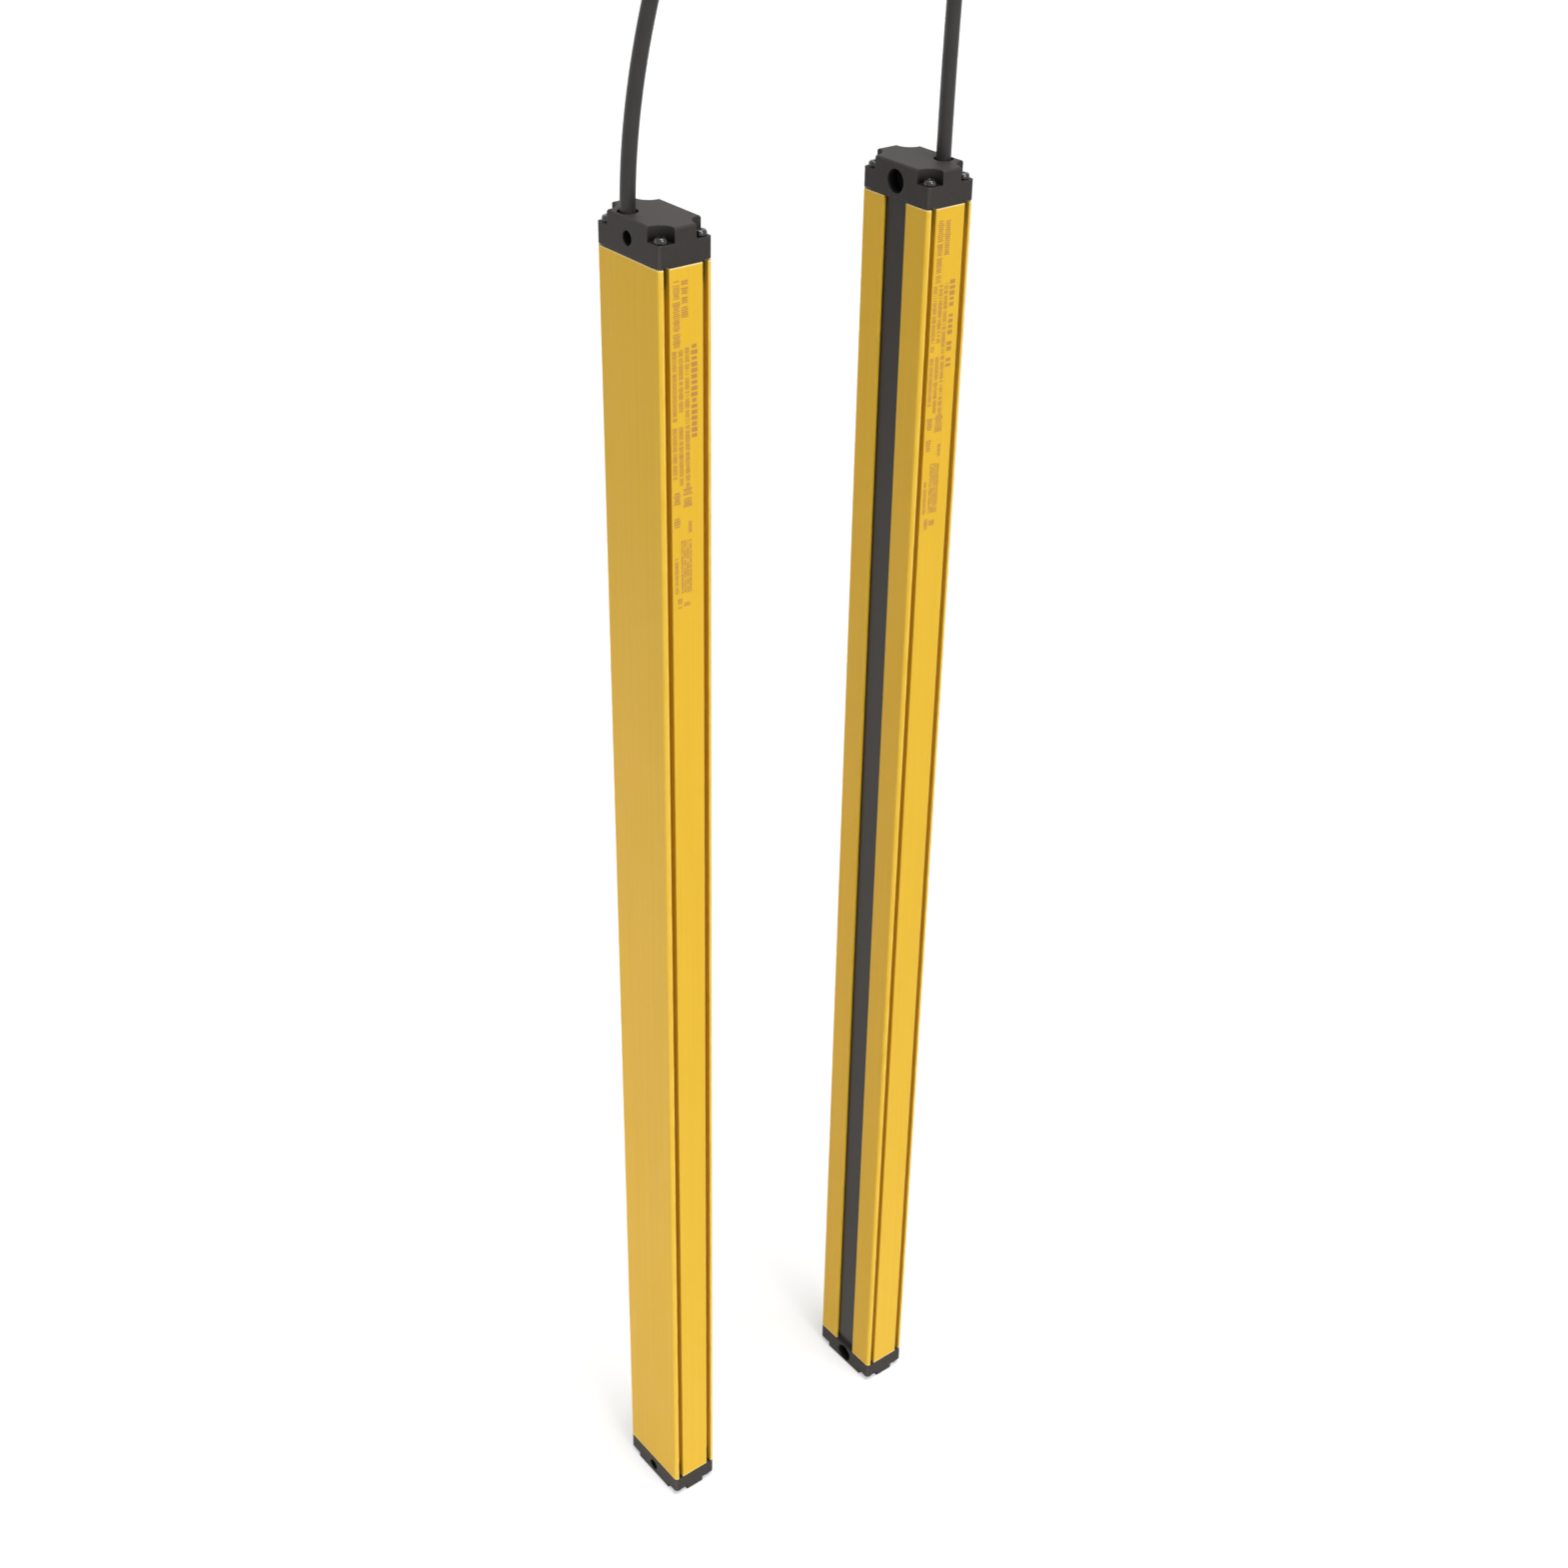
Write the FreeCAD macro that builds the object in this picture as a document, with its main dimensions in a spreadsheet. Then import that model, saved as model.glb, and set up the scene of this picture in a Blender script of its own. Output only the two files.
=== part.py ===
# Safety light curtain: an emitter bar and a receiver bar that stand upright and face each other across
# the guarded field. Each bar is an extruded housing with a tinted window, closed by two screwed end caps.
# Millimetres, +Z up along the bars. X runs across a bar's wide faces, Y runs from the emitter to the
# receiver. The origin is on the floor plane of the bottom caps, midway between the bars.
import FreeCAD, Part
import math
import os
import Sketcher

from FreeCAD import Placement, Rotation, Vector

# ---------------------------------------------------------------------------------------- sizes
# name, value or formula, what it measures
SIZES = [
    # the bar's section
    ("bar_width", "45", "wide face of the housing"),
    ("bar_depth", "27", "window face to back face"),
    ("corner_radius", "1.8", "outer corners of the housing and caps"),
    ("back_wall", "2.0", "wall behind the chamber"),
    ("front_wall", "2.0", "wall beside the window rails"),
    ("side_wall", "2.0", "wall between the chamber and the label side"),
    ("port_inset", "3.65", "screw port axis to either outer face"),
    ("port_radius", "1.6", "bore of a screw port"),
    ("port_mouth", "2.8", "slot from the label side into a screw port"),
    ("port_wall", "3.1", "metal from a port's axis to the chamber"),
    ("port_bevel", "1.8", "bevel of the metal round a port"),
    ("half_width", "=bar_width / 2", ""),
    ("half_depth", "=bar_depth / 2", ""),
    ("port_x", "=half_width - port_inset", ""),
    ("port_y", "=half_depth - port_inset", ""),
    ("mouth_low", "=port_y - port_mouth / 2", ""),
    ("mouth_high", "=port_y + port_mouth / 2", ""),
    ("block_x", "=port_x - port_wall", ""),
    ("block_y", "=port_y - port_wall", ""),
    ("chamber_x", "=half_width - side_wall", ""),
    ("chamber_back", "=half_depth - back_wall", ""),
    ("chamber_front", "=half_depth - front_wall", ""),
    # the window and its rails
    ("window_slot", "15.4", "clear width of the opening in the front face"),
    ("front_lip", "1.5", "metal in front of the window"),
    ("rear_lip", "1.5", "metal behind the window seal"),
    ("channel_width", "19.4", "groove that the window slides in"),
    ("channel_web", "1.6", "metal beside that groove"),
    ("window_clearance", "0.2", "each long edge of the window to its groove"),
    ("window_thickness", "2.6", "tinted strip"),
    ("seal_thickness", "0.8", "rubber loop behind the window"),
    ("seal_rim", "3.0", "width of that loop"),
    ("sill_height", "5.0", "rubber block under the window"),
    ("sill_setback", "0.8", "block's face behind the window's"),
    ("slot_half", "=window_slot / 2", ""),
    ("channel_half", "=channel_width / 2", ""),
    ("web_x", "=channel_half + channel_web", ""),
    ("channel_front", "=half_depth - front_lip", ""),
    ("window_back", "=channel_front - window_thickness", ""),
    ("channel_back", "=window_back - seal_thickness", ""),
    ("rail_back", "=channel_back - rear_lip", ""),
    ("window_half", "=channel_half - window_clearance", ""),
    ("seal_open_half", "=window_half - seal_rim", ""),
    ("sill_front", "=channel_front - sill_setback", ""),
    # beams and length
    ("beam_count", "18", "light beams"),
    ("beam_pitch", "40", "beam to beam"),
    ("end_margin", "18.5", "end of the housing to the nearest beam"),
    ("guarded_gap", "118", "window face to window face"),
    ("profile_length", "=(beam_count - 1) * beam_pitch + 2 * end_margin", ""),
    ("middle", "=profile_length / 2", ""),
    ("window_length", "=profile_length - sill_height", ""),
    ("seal_low", "=sill_height + seal_rim", ""),
    ("seal_high", "=profile_length - seal_rim", ""),
    ("bar_offset", "=guarded_gap / 2 + half_depth", ""),
    # end caps
    ("gasket_thickness", "0.8", "rubber sheet between cap and housing"),
    ("gasket_inset", "0.4", "gasket's edge inside the cap's outline"),
    ("gasket_relief", "2.2", "gasket's cut corners to the screws' axes"),
    ("spigot_depth", "6.0", "how far a cap plugs into the housing"),
    ("spigot_clearance", "0.3", "plug to the chamber's walls"),
    ("spigot_wall", "1.5", "wall of the hollow plug"),
    ("top_cap_height", "16.5", "housing's end to the top of the cap"),
    ("top_floor", "10.0", "housing's end to the screws' seats"),
    ("top_hole_height", "8.1", "housing's end to the mounting hole"),
    ("bottom_cap_height", "13.0", "housing's end to the foot of the cap"),
    ("bottom_floor", "9.5", "housing's end to the screws' seats"),
    ("bottom_hole_height", "6.7", "housing's end to the mounting hole"),
    ("mount_hole_radius", "3.2", "mounting hole for an M6 screw"),
    ("counterbore_radius", "5.5", "seat of the M6 screw's head"),
    ("counterbore_depth", "6.5", "depth of that seat"),
    ("notch_radius", "7.0", "scooped corner over each screw"),
    ("notch_inset", "1.2", "scoop's axis to either outer face"),
    ("cap_edge", "0.7", "bevel of a cap's crown"),
    ("spigot_x", "=block_x - spigot_clearance", ""),
    ("spigot_back", "=chamber_back - spigot_clearance", ""),
    ("spigot_front", "=rail_back - spigot_clearance", ""),
    ("core_x", "=spigot_x - spigot_wall", ""),
    ("core_back", "=spigot_back - spigot_wall", ""),
    ("core_front", "=spigot_front - spigot_wall", ""),
    ("gasket_x", "=half_width - gasket_inset", ""),
    ("gasket_y", "=half_depth - gasket_inset", ""),
    ("gasket_cut_x", "=port_x - gasket_relief", ""),
    ("gasket_cut_y", "=port_y - gasket_relief", ""),
    ("notch_x", "=half_width - notch_inset", ""),
    ("notch_y", "=half_depth - notch_inset", ""),
    ("top_notch_depth", "=top_cap_height - top_floor", ""),
    ("bottom_notch_depth", "=bottom_cap_height - bottom_floor", ""),
    ("top_body", "=top_cap_height - gasket_thickness", ""),
    ("bottom_body", "=bottom_cap_height - gasket_thickness", ""),
    ("spigot_height", "=spigot_depth + gasket_thickness", ""),
    ("profile_top", "=bottom_cap_height + profile_length", ""),
    # end cap screws
    ("screw_hole_radius", "1.9", "clearance hole in the cap"),
    ("screw_reach", "10.0", "thread in the screw port"),
    ("head_radius", "3.2", "screw head"),
    ("head_height", "2.6", "seat to the top of the head"),
    ("screw_facets", "12", "sides of the screws and their holes"),
    ("screw_end", "=-screw_reach", ""),
    ("top_shank", "=top_floor + screw_reach", ""),
    ("bottom_shank", "=bottom_floor + screw_reach", ""),
    # optics and electronics
    ("end_clearance", "0.2", "end cap plugs to what is inside"),
    ("carrier_clearance", "0.35", "optics carrier to the chamber's walls"),
    ("carrier_wall", "1.5", "side walls and webs of the carrier"),
    ("carrier_face", "2.0", "front wall of the carrier"),
    ("board_depth", "13.1", "front of the carrier to the boards"),
    ("groove_depth", "0.9", "grooves that the boards' edges slide in"),
    ("groove_play", "0.15", "board to groove, at its edges and its back"),
    ("groove_lip", "1.2", "wall behind a groove"),
    ("web_setback", "0.8", "webs' edges in front of the boards"),
    ("shaft_half", "4.5", "half of a beam's square light shaft"),
    ("strip_half", "5.5", "half the width of the lens strip"),
    ("strip_margin", "5.8", "end of the lens strip to the nearest beam"),
    ("strip_thickness", "1.2", "lens strip between its lenses"),
    ("lens_half", "4.4", "half the width of a lens"),
    ("lens_rise", "1.2", "lens over its strip"),
    ("seat_clearance", "0.1", "lens strip to its seat"),
    ("board_thickness", "1.6", "circuit board"),
    ("board_gap", "0.6", "between the two boards"),
    ("diode_half", "2.4", "half the width of an infrared diode"),
    ("diode_rise", "3.2", "diode over the board"),
    ("link_half", "6.0", "half the width of the board link"),
    ("link_length", "10.0", "board link along the bar"),
    ("link_rise", "2.8", "board link over the boards"),
    ("driver_clearance", "1.1", "driver chip to the carrier's side wall"),
    ("driver_width", "6.0", "driver chip across the bar"),
    ("driver_half", "4.0", "half the length of a driver chip"),
    ("driver_rise", "1.4", "driver chip over the board"),
    ("capacitor_clearance", "1.9", "capacitor to the carrier's side wall"),
    ("capacitor_width", "5.0", "capacitor across the bar"),
    ("capacitor_size", "6.0", "length of a capacitor along the bar"),
    ("capacitor_rise", "3.2", "capacitor over the board"),
    ("capacitor_count", "4", ""),
    ("lamp_spacing", "4.5", "status lamp to status lamp"),
    ("lamp_height", "10.2", "housing's end to the status lamps"),
    ("pipe_half", "0.9", "half the width of a status lamp's light pipe"),
    ("pipe_clearance", "0.1", "light pipe to its hole"),
    ("pipe_gap", "0.9", "light pipe to the back of the window"),
    ("lamp_half", "1.4", "half of a status lamp's base"),
    ("lamp_rise", "1.2", "its height over the board"),
    ("inner_end", "=spigot_depth + end_clearance", ""),
    ("inner_top", "=profile_length - inner_end", ""),
    ("inner_length", "=inner_top - inner_end", ""),
    ("carrier_x", "=block_x - carrier_clearance", ""),
    ("carrier_in_x", "=carrier_x - carrier_wall", ""),
    ("carrier_in_front", "=rail_back - carrier_face", ""),
    ("board_front", "=rail_back - board_depth", ""),
    ("board_back", "=board_front - board_thickness", ""),
    ("groove_back", "=board_back - groove_play", ""),
    ("carrier_back", "=groove_back - groove_lip", ""),
    ("groove_x", "=carrier_in_x + groove_depth", ""),
    ("board_x", "=groove_x - groove_play", ""),
    ("web_back", "=board_front + web_setback", ""),
    ("first_web", "=end_margin + (beam_pitch - carrier_wall) / 2", ""),
    ("web_count", "=beam_count - 1", ""),
    ("end_wall_top", "=inner_top - carrier_wall", ""),
    ("shaft_low", "=end_margin - shaft_half", ""),
    ("shaft_high", "=end_margin + shaft_half", ""),
    ("strip_low", "=end_margin - strip_margin", ""),
    ("strip_high", "=profile_length - strip_low", ""),
    ("strip_length", "=strip_high - strip_low", ""),
    ("seat_half", "=strip_half + seat_clearance", ""),
    ("seat_low", "=strip_low - seat_clearance", ""),
    ("seat_high", "=strip_high + seat_clearance", ""),
    ("seat_back", "=rail_back - strip_thickness", ""),
    ("shaft_depth", "=carrier_face - strip_thickness", ""),
    ("lens_low", "=end_margin - lens_half", ""),
    ("lens_high", "=end_margin + lens_half", ""),
    ("diode_low", "=end_margin - diode_half", ""),
    ("diode_high", "=end_margin + diode_half", ""),
    ("lower_board", "=middle - board_gap / 2 - inner_end", ""),
    ("upper_board_start", "=middle + board_gap / 2", ""),
    ("upper_board", "=inner_top - upper_board_start", ""),
    ("driver_out", "=carrier_in_x - driver_clearance", ""),
    ("driver_in", "=driver_out - driver_width", ""),
    ("driver_low", "=end_margin - driver_half", ""),
    ("driver_high", "=end_margin + driver_half", ""),
    ("driver_spacing", "=2 * beam_pitch", ""),
    ("driver_count", "=floor(beam_count / 2)", ""),
    ("capacitor_out", "=carrier_in_x - capacitor_clearance", ""),
    ("capacitor_in", "=capacitor_out - capacitor_width", ""),
    ("capacitor_low", "=end_margin + beam_pitch - capacitor_size / 2", ""),
    ("capacitor_high", "=capacitor_low + capacitor_size", ""),
    ("capacitor_spacing", "=beam_pitch * (beam_count - 3) / (capacitor_count - 1)", ""),
    ("link_low", "=middle - link_length / 2", ""),
    ("link_high", "=middle + link_length / 2", ""),
    ("lamp_low", "=lamp_height - lamp_half", ""),
    ("lamp_high", "=lamp_height + lamp_half", ""),
    ("lamp_in", "=lamp_spacing - lamp_half", ""),
    ("lamp_out", "=lamp_spacing + lamp_half", ""),
    ("pipe_low", "=lamp_height - pipe_half", ""),
    ("pipe_high", "=lamp_height + pipe_half", ""),
    ("pipe_in", "=lamp_spacing - pipe_half", ""),
    ("pipe_out", "=lamp_spacing + pipe_half", ""),
    ("pipe_front", "=window_back - pipe_gap", ""),
    ("pipe_length", "=pipe_front - board_front", ""),
    ("slot_low", "=pipe_low - pipe_clearance", ""),
    ("slot_high", "=pipe_high + pipe_clearance", ""),
    ("slot_in", "=pipe_in - pipe_clearance", ""),
    ("slot_out", "=pipe_out + pipe_clearance", ""),
    ("slot_x", "=pipe_half + pipe_clearance", ""),
    # cable and its entry
    ("cable_radius", "3.4", "round jacket"),
    ("cable_side", "15.1", "cable's axis to the label side"),
    ("cable_inset", "5.6", "cable's axis to the back face"),
    ("lead_radius", "1.7", "bundle of the cable's wires inside the cap"),
    ("lead_clearance", "0.15", "that bundle to its bore"),
    ("entry_radius", "4.6", "recess round the cable"),
    ("entry_depth", "4.0", "depth of the recess"),
    ("gland_clearance", "0.1", "gland to the recess"),
    ("gland_height", "2.9", "rubber gland"),
    ("plug_height", "9.0", "wire plug on the upper board"),
    ("plug_half", "4.6", "half the width of the wire plug"),
    ("plug_clearance", "0.3", "wire plug to the chamber's back"),
    ("plug_rise", "=chamber_back - plug_clearance + board_back", ""),
    ("cable_offset", "=half_width - cable_side", ""),
    ("cable_y", "=half_depth - cable_inset", ""),
    ("lead_bore", "=lead_radius + lead_clearance", ""),
    ("gland_radius", "=entry_radius - gland_clearance", ""),
    ("entry_floor", "=top_cap_height - entry_depth", ""),
    ("lead_foot", "=-inner_end", ""),
    ("lead_length", "=entry_floor + inner_end", ""),
    ("plug_low", "=inner_top - plug_height", ""),
    ("plug_in", "=cable_offset - plug_half", ""),
    ("plug_out", "=cable_offset + plug_half", ""),
    # cable connector, with an M12 coupling nut
    ("tail_radius", "5.2", "grip's narrow tail, axis to its corners"),
    ("tail_length", "11.0", "grip's narrow tail"),
    ("grip_radius", "7.2", "grip, axis to its corners"),
    ("grip_body", "16.0", "grip without its tail"),
    ("nut_radius", "8.1", "coupling nut, axis to its corners"),
    ("nut_length", "14.0", ""),
    ("thread_radius", "5.9", "M12 thread inside the nut"),
    ("insert_radius", "4.4", "contact insert"),
    ("insert_length", "12.0", ""),
    ("grip_length", "=tail_length + grip_body", ""),
]

doc = FreeCAD.newDocument("light_curtain")
sheet = doc.addObject("Spreadsheet::Sheet", "sizes")
for row, (alias, content, meaning) in enumerate(SIZES, 1):
    sheet.set(f"A{row}", alias)
    sheet.set(f"B{row}", content)
    sheet.setAlias(f"B{row}", alias)
    sheet.set(f"C{row}", meaning)
doc.recompute()


def size(name):
    """The value of a cell. "-name" is its negative, and "0" is nought."""
    if name == "0":
        return 0.0
    if name.startswith("-"):
        return -float(getattr(sheet, name[1:]))
    return float(getattr(sheet, name))


def bind(thing, place, name):
    """Ties one dimension of a feature to a cell of the sheet."""
    if name == "0":
        return
    sign = "-" if name.startswith("-") else ""
    thing.setExpression(place, f"{sign}sizes.{name.lstrip('-')}")


# ------------------------------------------------------------------- sketches and features
pieces = []


def new_body(name):
    body = doc.addObject("PartDesign::Body", name)
    body.Label = name
    pieces.append(body)
    return body


def datum(body, role):
    """One of the body's own planes or axes, such as XY_Plane or Z_Axis."""
    return next(item for item in body.Origin.OriginFeatures if item.Role == role)


def new_sketch(body, name, plane="XY_Plane", lift="0"):
    """A sketch on one of the body's planes, lifted along the plane's normal. The normal of XZ_Plane is -Y."""
    sketch = body.newObject("Sketcher::SketchObject", name)
    sketch.AttachmentSupport = (datum(body, plane), [""])
    sketch.MapMode = "FlatFace"
    bind(sketch, "AttachmentOffset.Base.z", lift)
    return sketch


def pin_point(sketch, line, end, corner):
    """Holds one end of a line, or a centre, at a corner given as two cell names."""
    for kind, name in zip(("DistanceX", "DistanceY"), corner):
        index = sketch.addConstraint(Sketcher.Constraint(kind, -1, 1, line, end, size(name)))
        bind(sketch, f"Constraints[{index}]", name)


def flat(corner):
    return Vector(size(corner[0]), size(corner[1]), 0)


def outline(sketch, *corners):
    """A closed outline of straight lines through the corners."""
    first = sketch.GeometryCount
    count = len(corners)
    for here, there in zip(corners, corners[1:] + corners[:1]):
        sketch.addGeometry(Part.LineSegment(flat(here), flat(there)))
    for step in range(count):
        following = first + (step + 1) % count
        sketch.addConstraint(Sketcher.Constraint("Coincident", first + step, 2, following, 1))
    for step, corner in enumerate(corners):
        pin_point(sketch, first + step, 1, corner)


def box(sketch, left, right, low, high):
    outline(sketch, (left, low), (right, low), (right, high), (left, high))


def circle(sketch, x, y, radius):
    line = sketch.addGeometry(Part.Circle(flat((x, y)), Vector(0, 0, 1), size(radius)))
    pin_point(sketch, line, 3, (x, y))
    index = sketch.addConstraint(Sketcher.Constraint("Radius", line, size(radius)))
    bind(sketch, f"Constraints[{index}]", radius)


def add_feature(body, kind, name, sketch):
    feature = body.newObject(f"PartDesign::{kind}", name)
    feature.Profile = sketch
    return feature


def volume_of(body):
    return body.Shape.Volume if not body.Shape.isNull() else 0.0


def changed(body, feature, grows):
    """Recomputes, and stops if the feature has added or cut nothing."""
    before = volume_of(body)
    body.Tip = feature
    doc.recompute()
    gain = volume_of(body) - before
    if (gain if grows else -gain) <= 0:
        raise RuntimeError(f"{body.Label}: {feature.Label} changes nothing")
    return feature


def pad(body, sketch, length, down=False, name="pad"):
    feature = add_feature(body, "Pad", name, sketch)
    bind(feature, "Length", length)
    feature.Reversed = down
    return changed(body, feature, grows=True)


def cut(body, sketch, depth, up=False, name="cut"):
    """A pocket. It goes against the sketch's normal, or along it with up."""
    feature = add_feature(body, "Pocket", name, sketch)
    bind(feature, "Length", depth)
    feature.Reversed = up
    return changed(body, feature, grows=False)


def row_of(body, features, axis, spacing, count, grows=True, name="row"):
    pattern = body.newObject("PartDesign::LinearPattern", name)
    pattern.Originals = features
    pattern.Direction = (datum(body, axis), [""])
    pattern.Mode = "Spacing"
    bind(pattern, "Offset", spacing)
    bind(pattern, "Occurrences", count)
    return changed(body, pattern, grows)


def prism(body, kind, radius, length, place, name, sides=None):
    """An upright prism, Additive or Subtractive, that stands on a place given as three cell names."""
    feature = body.newObject(f"PartDesign::{kind}Prism", name)
    feature.AttachmentSupport = (datum(body, "XY_Plane"), [""])
    feature.MapMode = "FlatFace"
    for axis, cell in zip("xyz", place):
        bind(feature, f"AttachmentOffset.Base.{axis}", cell)
    bind(feature, "Circumradius", radius)
    bind(feature, "Height", length)
    if sides is None:
        bind(feature, "Polygon", "screw_facets")
    else:
        feature.Polygon = sides
    return changed(body, feature, grows=kind == "Additive")


def corners_of(body):
    """The four screw ports, as cell names with a number each."""
    ports = [(x, y) for x in ("port_x", "-port_x") for y in ("port_y", "-port_y")]
    return enumerate(ports, 1)


def dressed(body, kind, amount, wanted, name):
    """A Fillet or a Chamfer on the edges that a test picks. The test is given the edge."""
    base = body.Tip
    edges = [f"Edge{n}" for n, edge in enumerate(base.Shape.Edges, 1) if wanted(edge)]
    if not edges:
        raise RuntimeError(f"{body.Label}: no edge for {name}")
    feature = body.newObject(f"PartDesign::{kind}", name)
    feature.Base = (base, edges)
    bind(feature, "Radius" if kind == "Fillet" else "Size", amount)
    return changed(body, feature, grows=False)


def round_edges(body, radius, wanted, name):
    return dressed(body, "Fillet", radius, wanted, name)


def bevel_edges(body, amount, wanted, name):
    return dressed(body, "Chamfer", amount, wanted, name)


def upright_at(x, y):
    """A test for edges along Z through the point (x, y), whatever the signs of x and y."""

    def test(edge):
        ends = [vertex.Point for vertex in edge.Vertexes]
        near = all(abs(abs(p.x) - size(x)) < 1e-4 and abs(abs(p.y) - size(y)) < 1e-4 for p in ends)
        return near and len(ends) == 2 and abs(ends[0].z - ends[1].z) > 1e-3

    return test


def straight_at(height):
    """A test for straight edges in a level plane."""

    def test(edge):
        extent = edge.BoundBox
        level = abs(extent.ZMin - size(height)) < 1e-4 and abs(extent.ZMax - size(height)) < 1e-4
        return level and isinstance(edge.Curve, Part.Line)

    return test


# ---------------------------------------------------------------------------- where a bar stands
BARS = {"emitter": ("-bar_offset", 0), "receiver": ("bar_offset", 180)}


def stand(body, bar, height, turned=False):
    """Puts a piece on its bar's axis. turned is for the bottom cap's pieces, which hang down from the housing."""
    across, heading = BARS[bar]
    turn = Rotation(Vector(0, 0, 1), heading)
    if turned:
        turn = turn.multiply(Rotation(Vector(0, 1, 0), 180))
    body.Placement = Placement(Vector(0, size(across), size(height)), turn)
    bind(body, "Placement.Base.y", across)
    bind(body, "Placement.Base.z", height)
    return body


# --------------------------------------------------------------------------------- housing
def housing(bar):
    """Aluminium extrusion: chamber for the electronics, window rails in front, and four screw ports that
    open as slots along the label sides, where brackets also grip."""
    body = new_body(f"{bar}_housing")
    section = new_sketch(body, "section")
    box(section, "-half_width", "half_width", "-half_depth", "half_depth")
    pad(body, section, "profile_length", name="extrusion")
    round_edges(body, "corner_radius", upright_at("half_width", "half_depth"), "outer_corners")

    chamber = new_sketch(body, "chamber_section")
    outline(
        chamber,
        ("-block_x", "-chamber_back"), ("block_x", "-chamber_back"), ("block_x", "-block_y"),
        ("chamber_x", "-block_y"), ("chamber_x", "block_y"), ("block_x", "block_y"),
        ("block_x", "chamber_front"), ("web_x", "chamber_front"), ("web_x", "rail_back"),
        ("-web_x", "rail_back"), ("-web_x", "chamber_front"), ("-block_x", "chamber_front"),
        ("-block_x", "block_y"), ("-chamber_x", "block_y"), ("-chamber_x", "-block_y"),
        ("-block_x", "-block_y"),
    )  # fmt: skip
    cut(body, chamber, "profile_length", up=True, name="chamber")
    bevel_edges(body, "port_bevel", upright_at("block_x", "block_y"), "port_blocks")

    rails = new_sketch(body, "rail_section")
    outline(
        rails,
        ("-slot_half", "rail_back"), ("slot_half", "rail_back"), ("slot_half", "channel_back"),
        ("channel_half", "channel_back"), ("channel_half", "channel_front"), ("slot_half", "channel_front"),
        ("slot_half", "half_depth"), ("-slot_half", "half_depth"), ("-slot_half", "channel_front"),
        ("-channel_half", "channel_front"), ("-channel_half", "channel_back"), ("-slot_half", "channel_back"),
    )  # fmt: skip
    cut(body, rails, "profile_length", up=True, name="window_rails")

    ports = new_sketch(body, "port_section")
    mouths = new_sketch(body, "mouth_section")
    for x, wall in (("port_x", "half_width"), ("-port_x", "-half_width")):
        left, right = sorted((x, wall), key=size)
        for y in ("port_y", "-port_y"):
            circle(ports, x, y, "port_radius")
        box(mouths, left, right, "mouth_low", "mouth_high")
        box(mouths, left, right, "-mouth_high", "-mouth_low")
    cut(body, ports, "profile_length", up=True, name="screw_ports")
    cut(body, mouths, "profile_length", up=True, name="port_mouths")
    return stand(body, bar, "bottom_cap_height")


# ---------------------------------------------------------------------------------- window
def window(bar):
    """Tinted acrylic strip that slides into the front rails."""
    body = new_body(f"{bar}_window")
    section = new_sketch(body, "section", lift="sill_height")
    box(section, "-window_half", "window_half", "window_back", "channel_front")
    pad(body, section, "window_length", name="strip")
    return stand(body, bar, "bottom_cap_height")


def window_seal(bar):
    """Rubber loop that the window presses on the rear lips."""
    body = new_body(f"{bar}_window_seal")
    section = new_sketch(body, "section", lift="sill_height")
    box(section, "-window_half", "window_half", "channel_back", "window_back")
    pad(body, section, "window_length", name="strip")
    opening = new_sketch(body, "opening", "XZ_Plane", "-window_back")
    box(opening, "-seal_open_half", "seal_open_half", "seal_low", "seal_high")
    cut(body, opening, "seal_thickness", up=True, name="loop")
    return stand(body, bar, "bottom_cap_height")


def window_sill(bar):
    """Rubber block that closes the rails under the window."""
    body = new_body(f"{bar}_window_sill")
    section = new_sketch(body, "section")
    box(section, "-window_half", "window_half", "channel_back", "sill_front")
    pad(body, section, "sill_height", name="block")
    return stand(body, bar, "bottom_cap_height")


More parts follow.
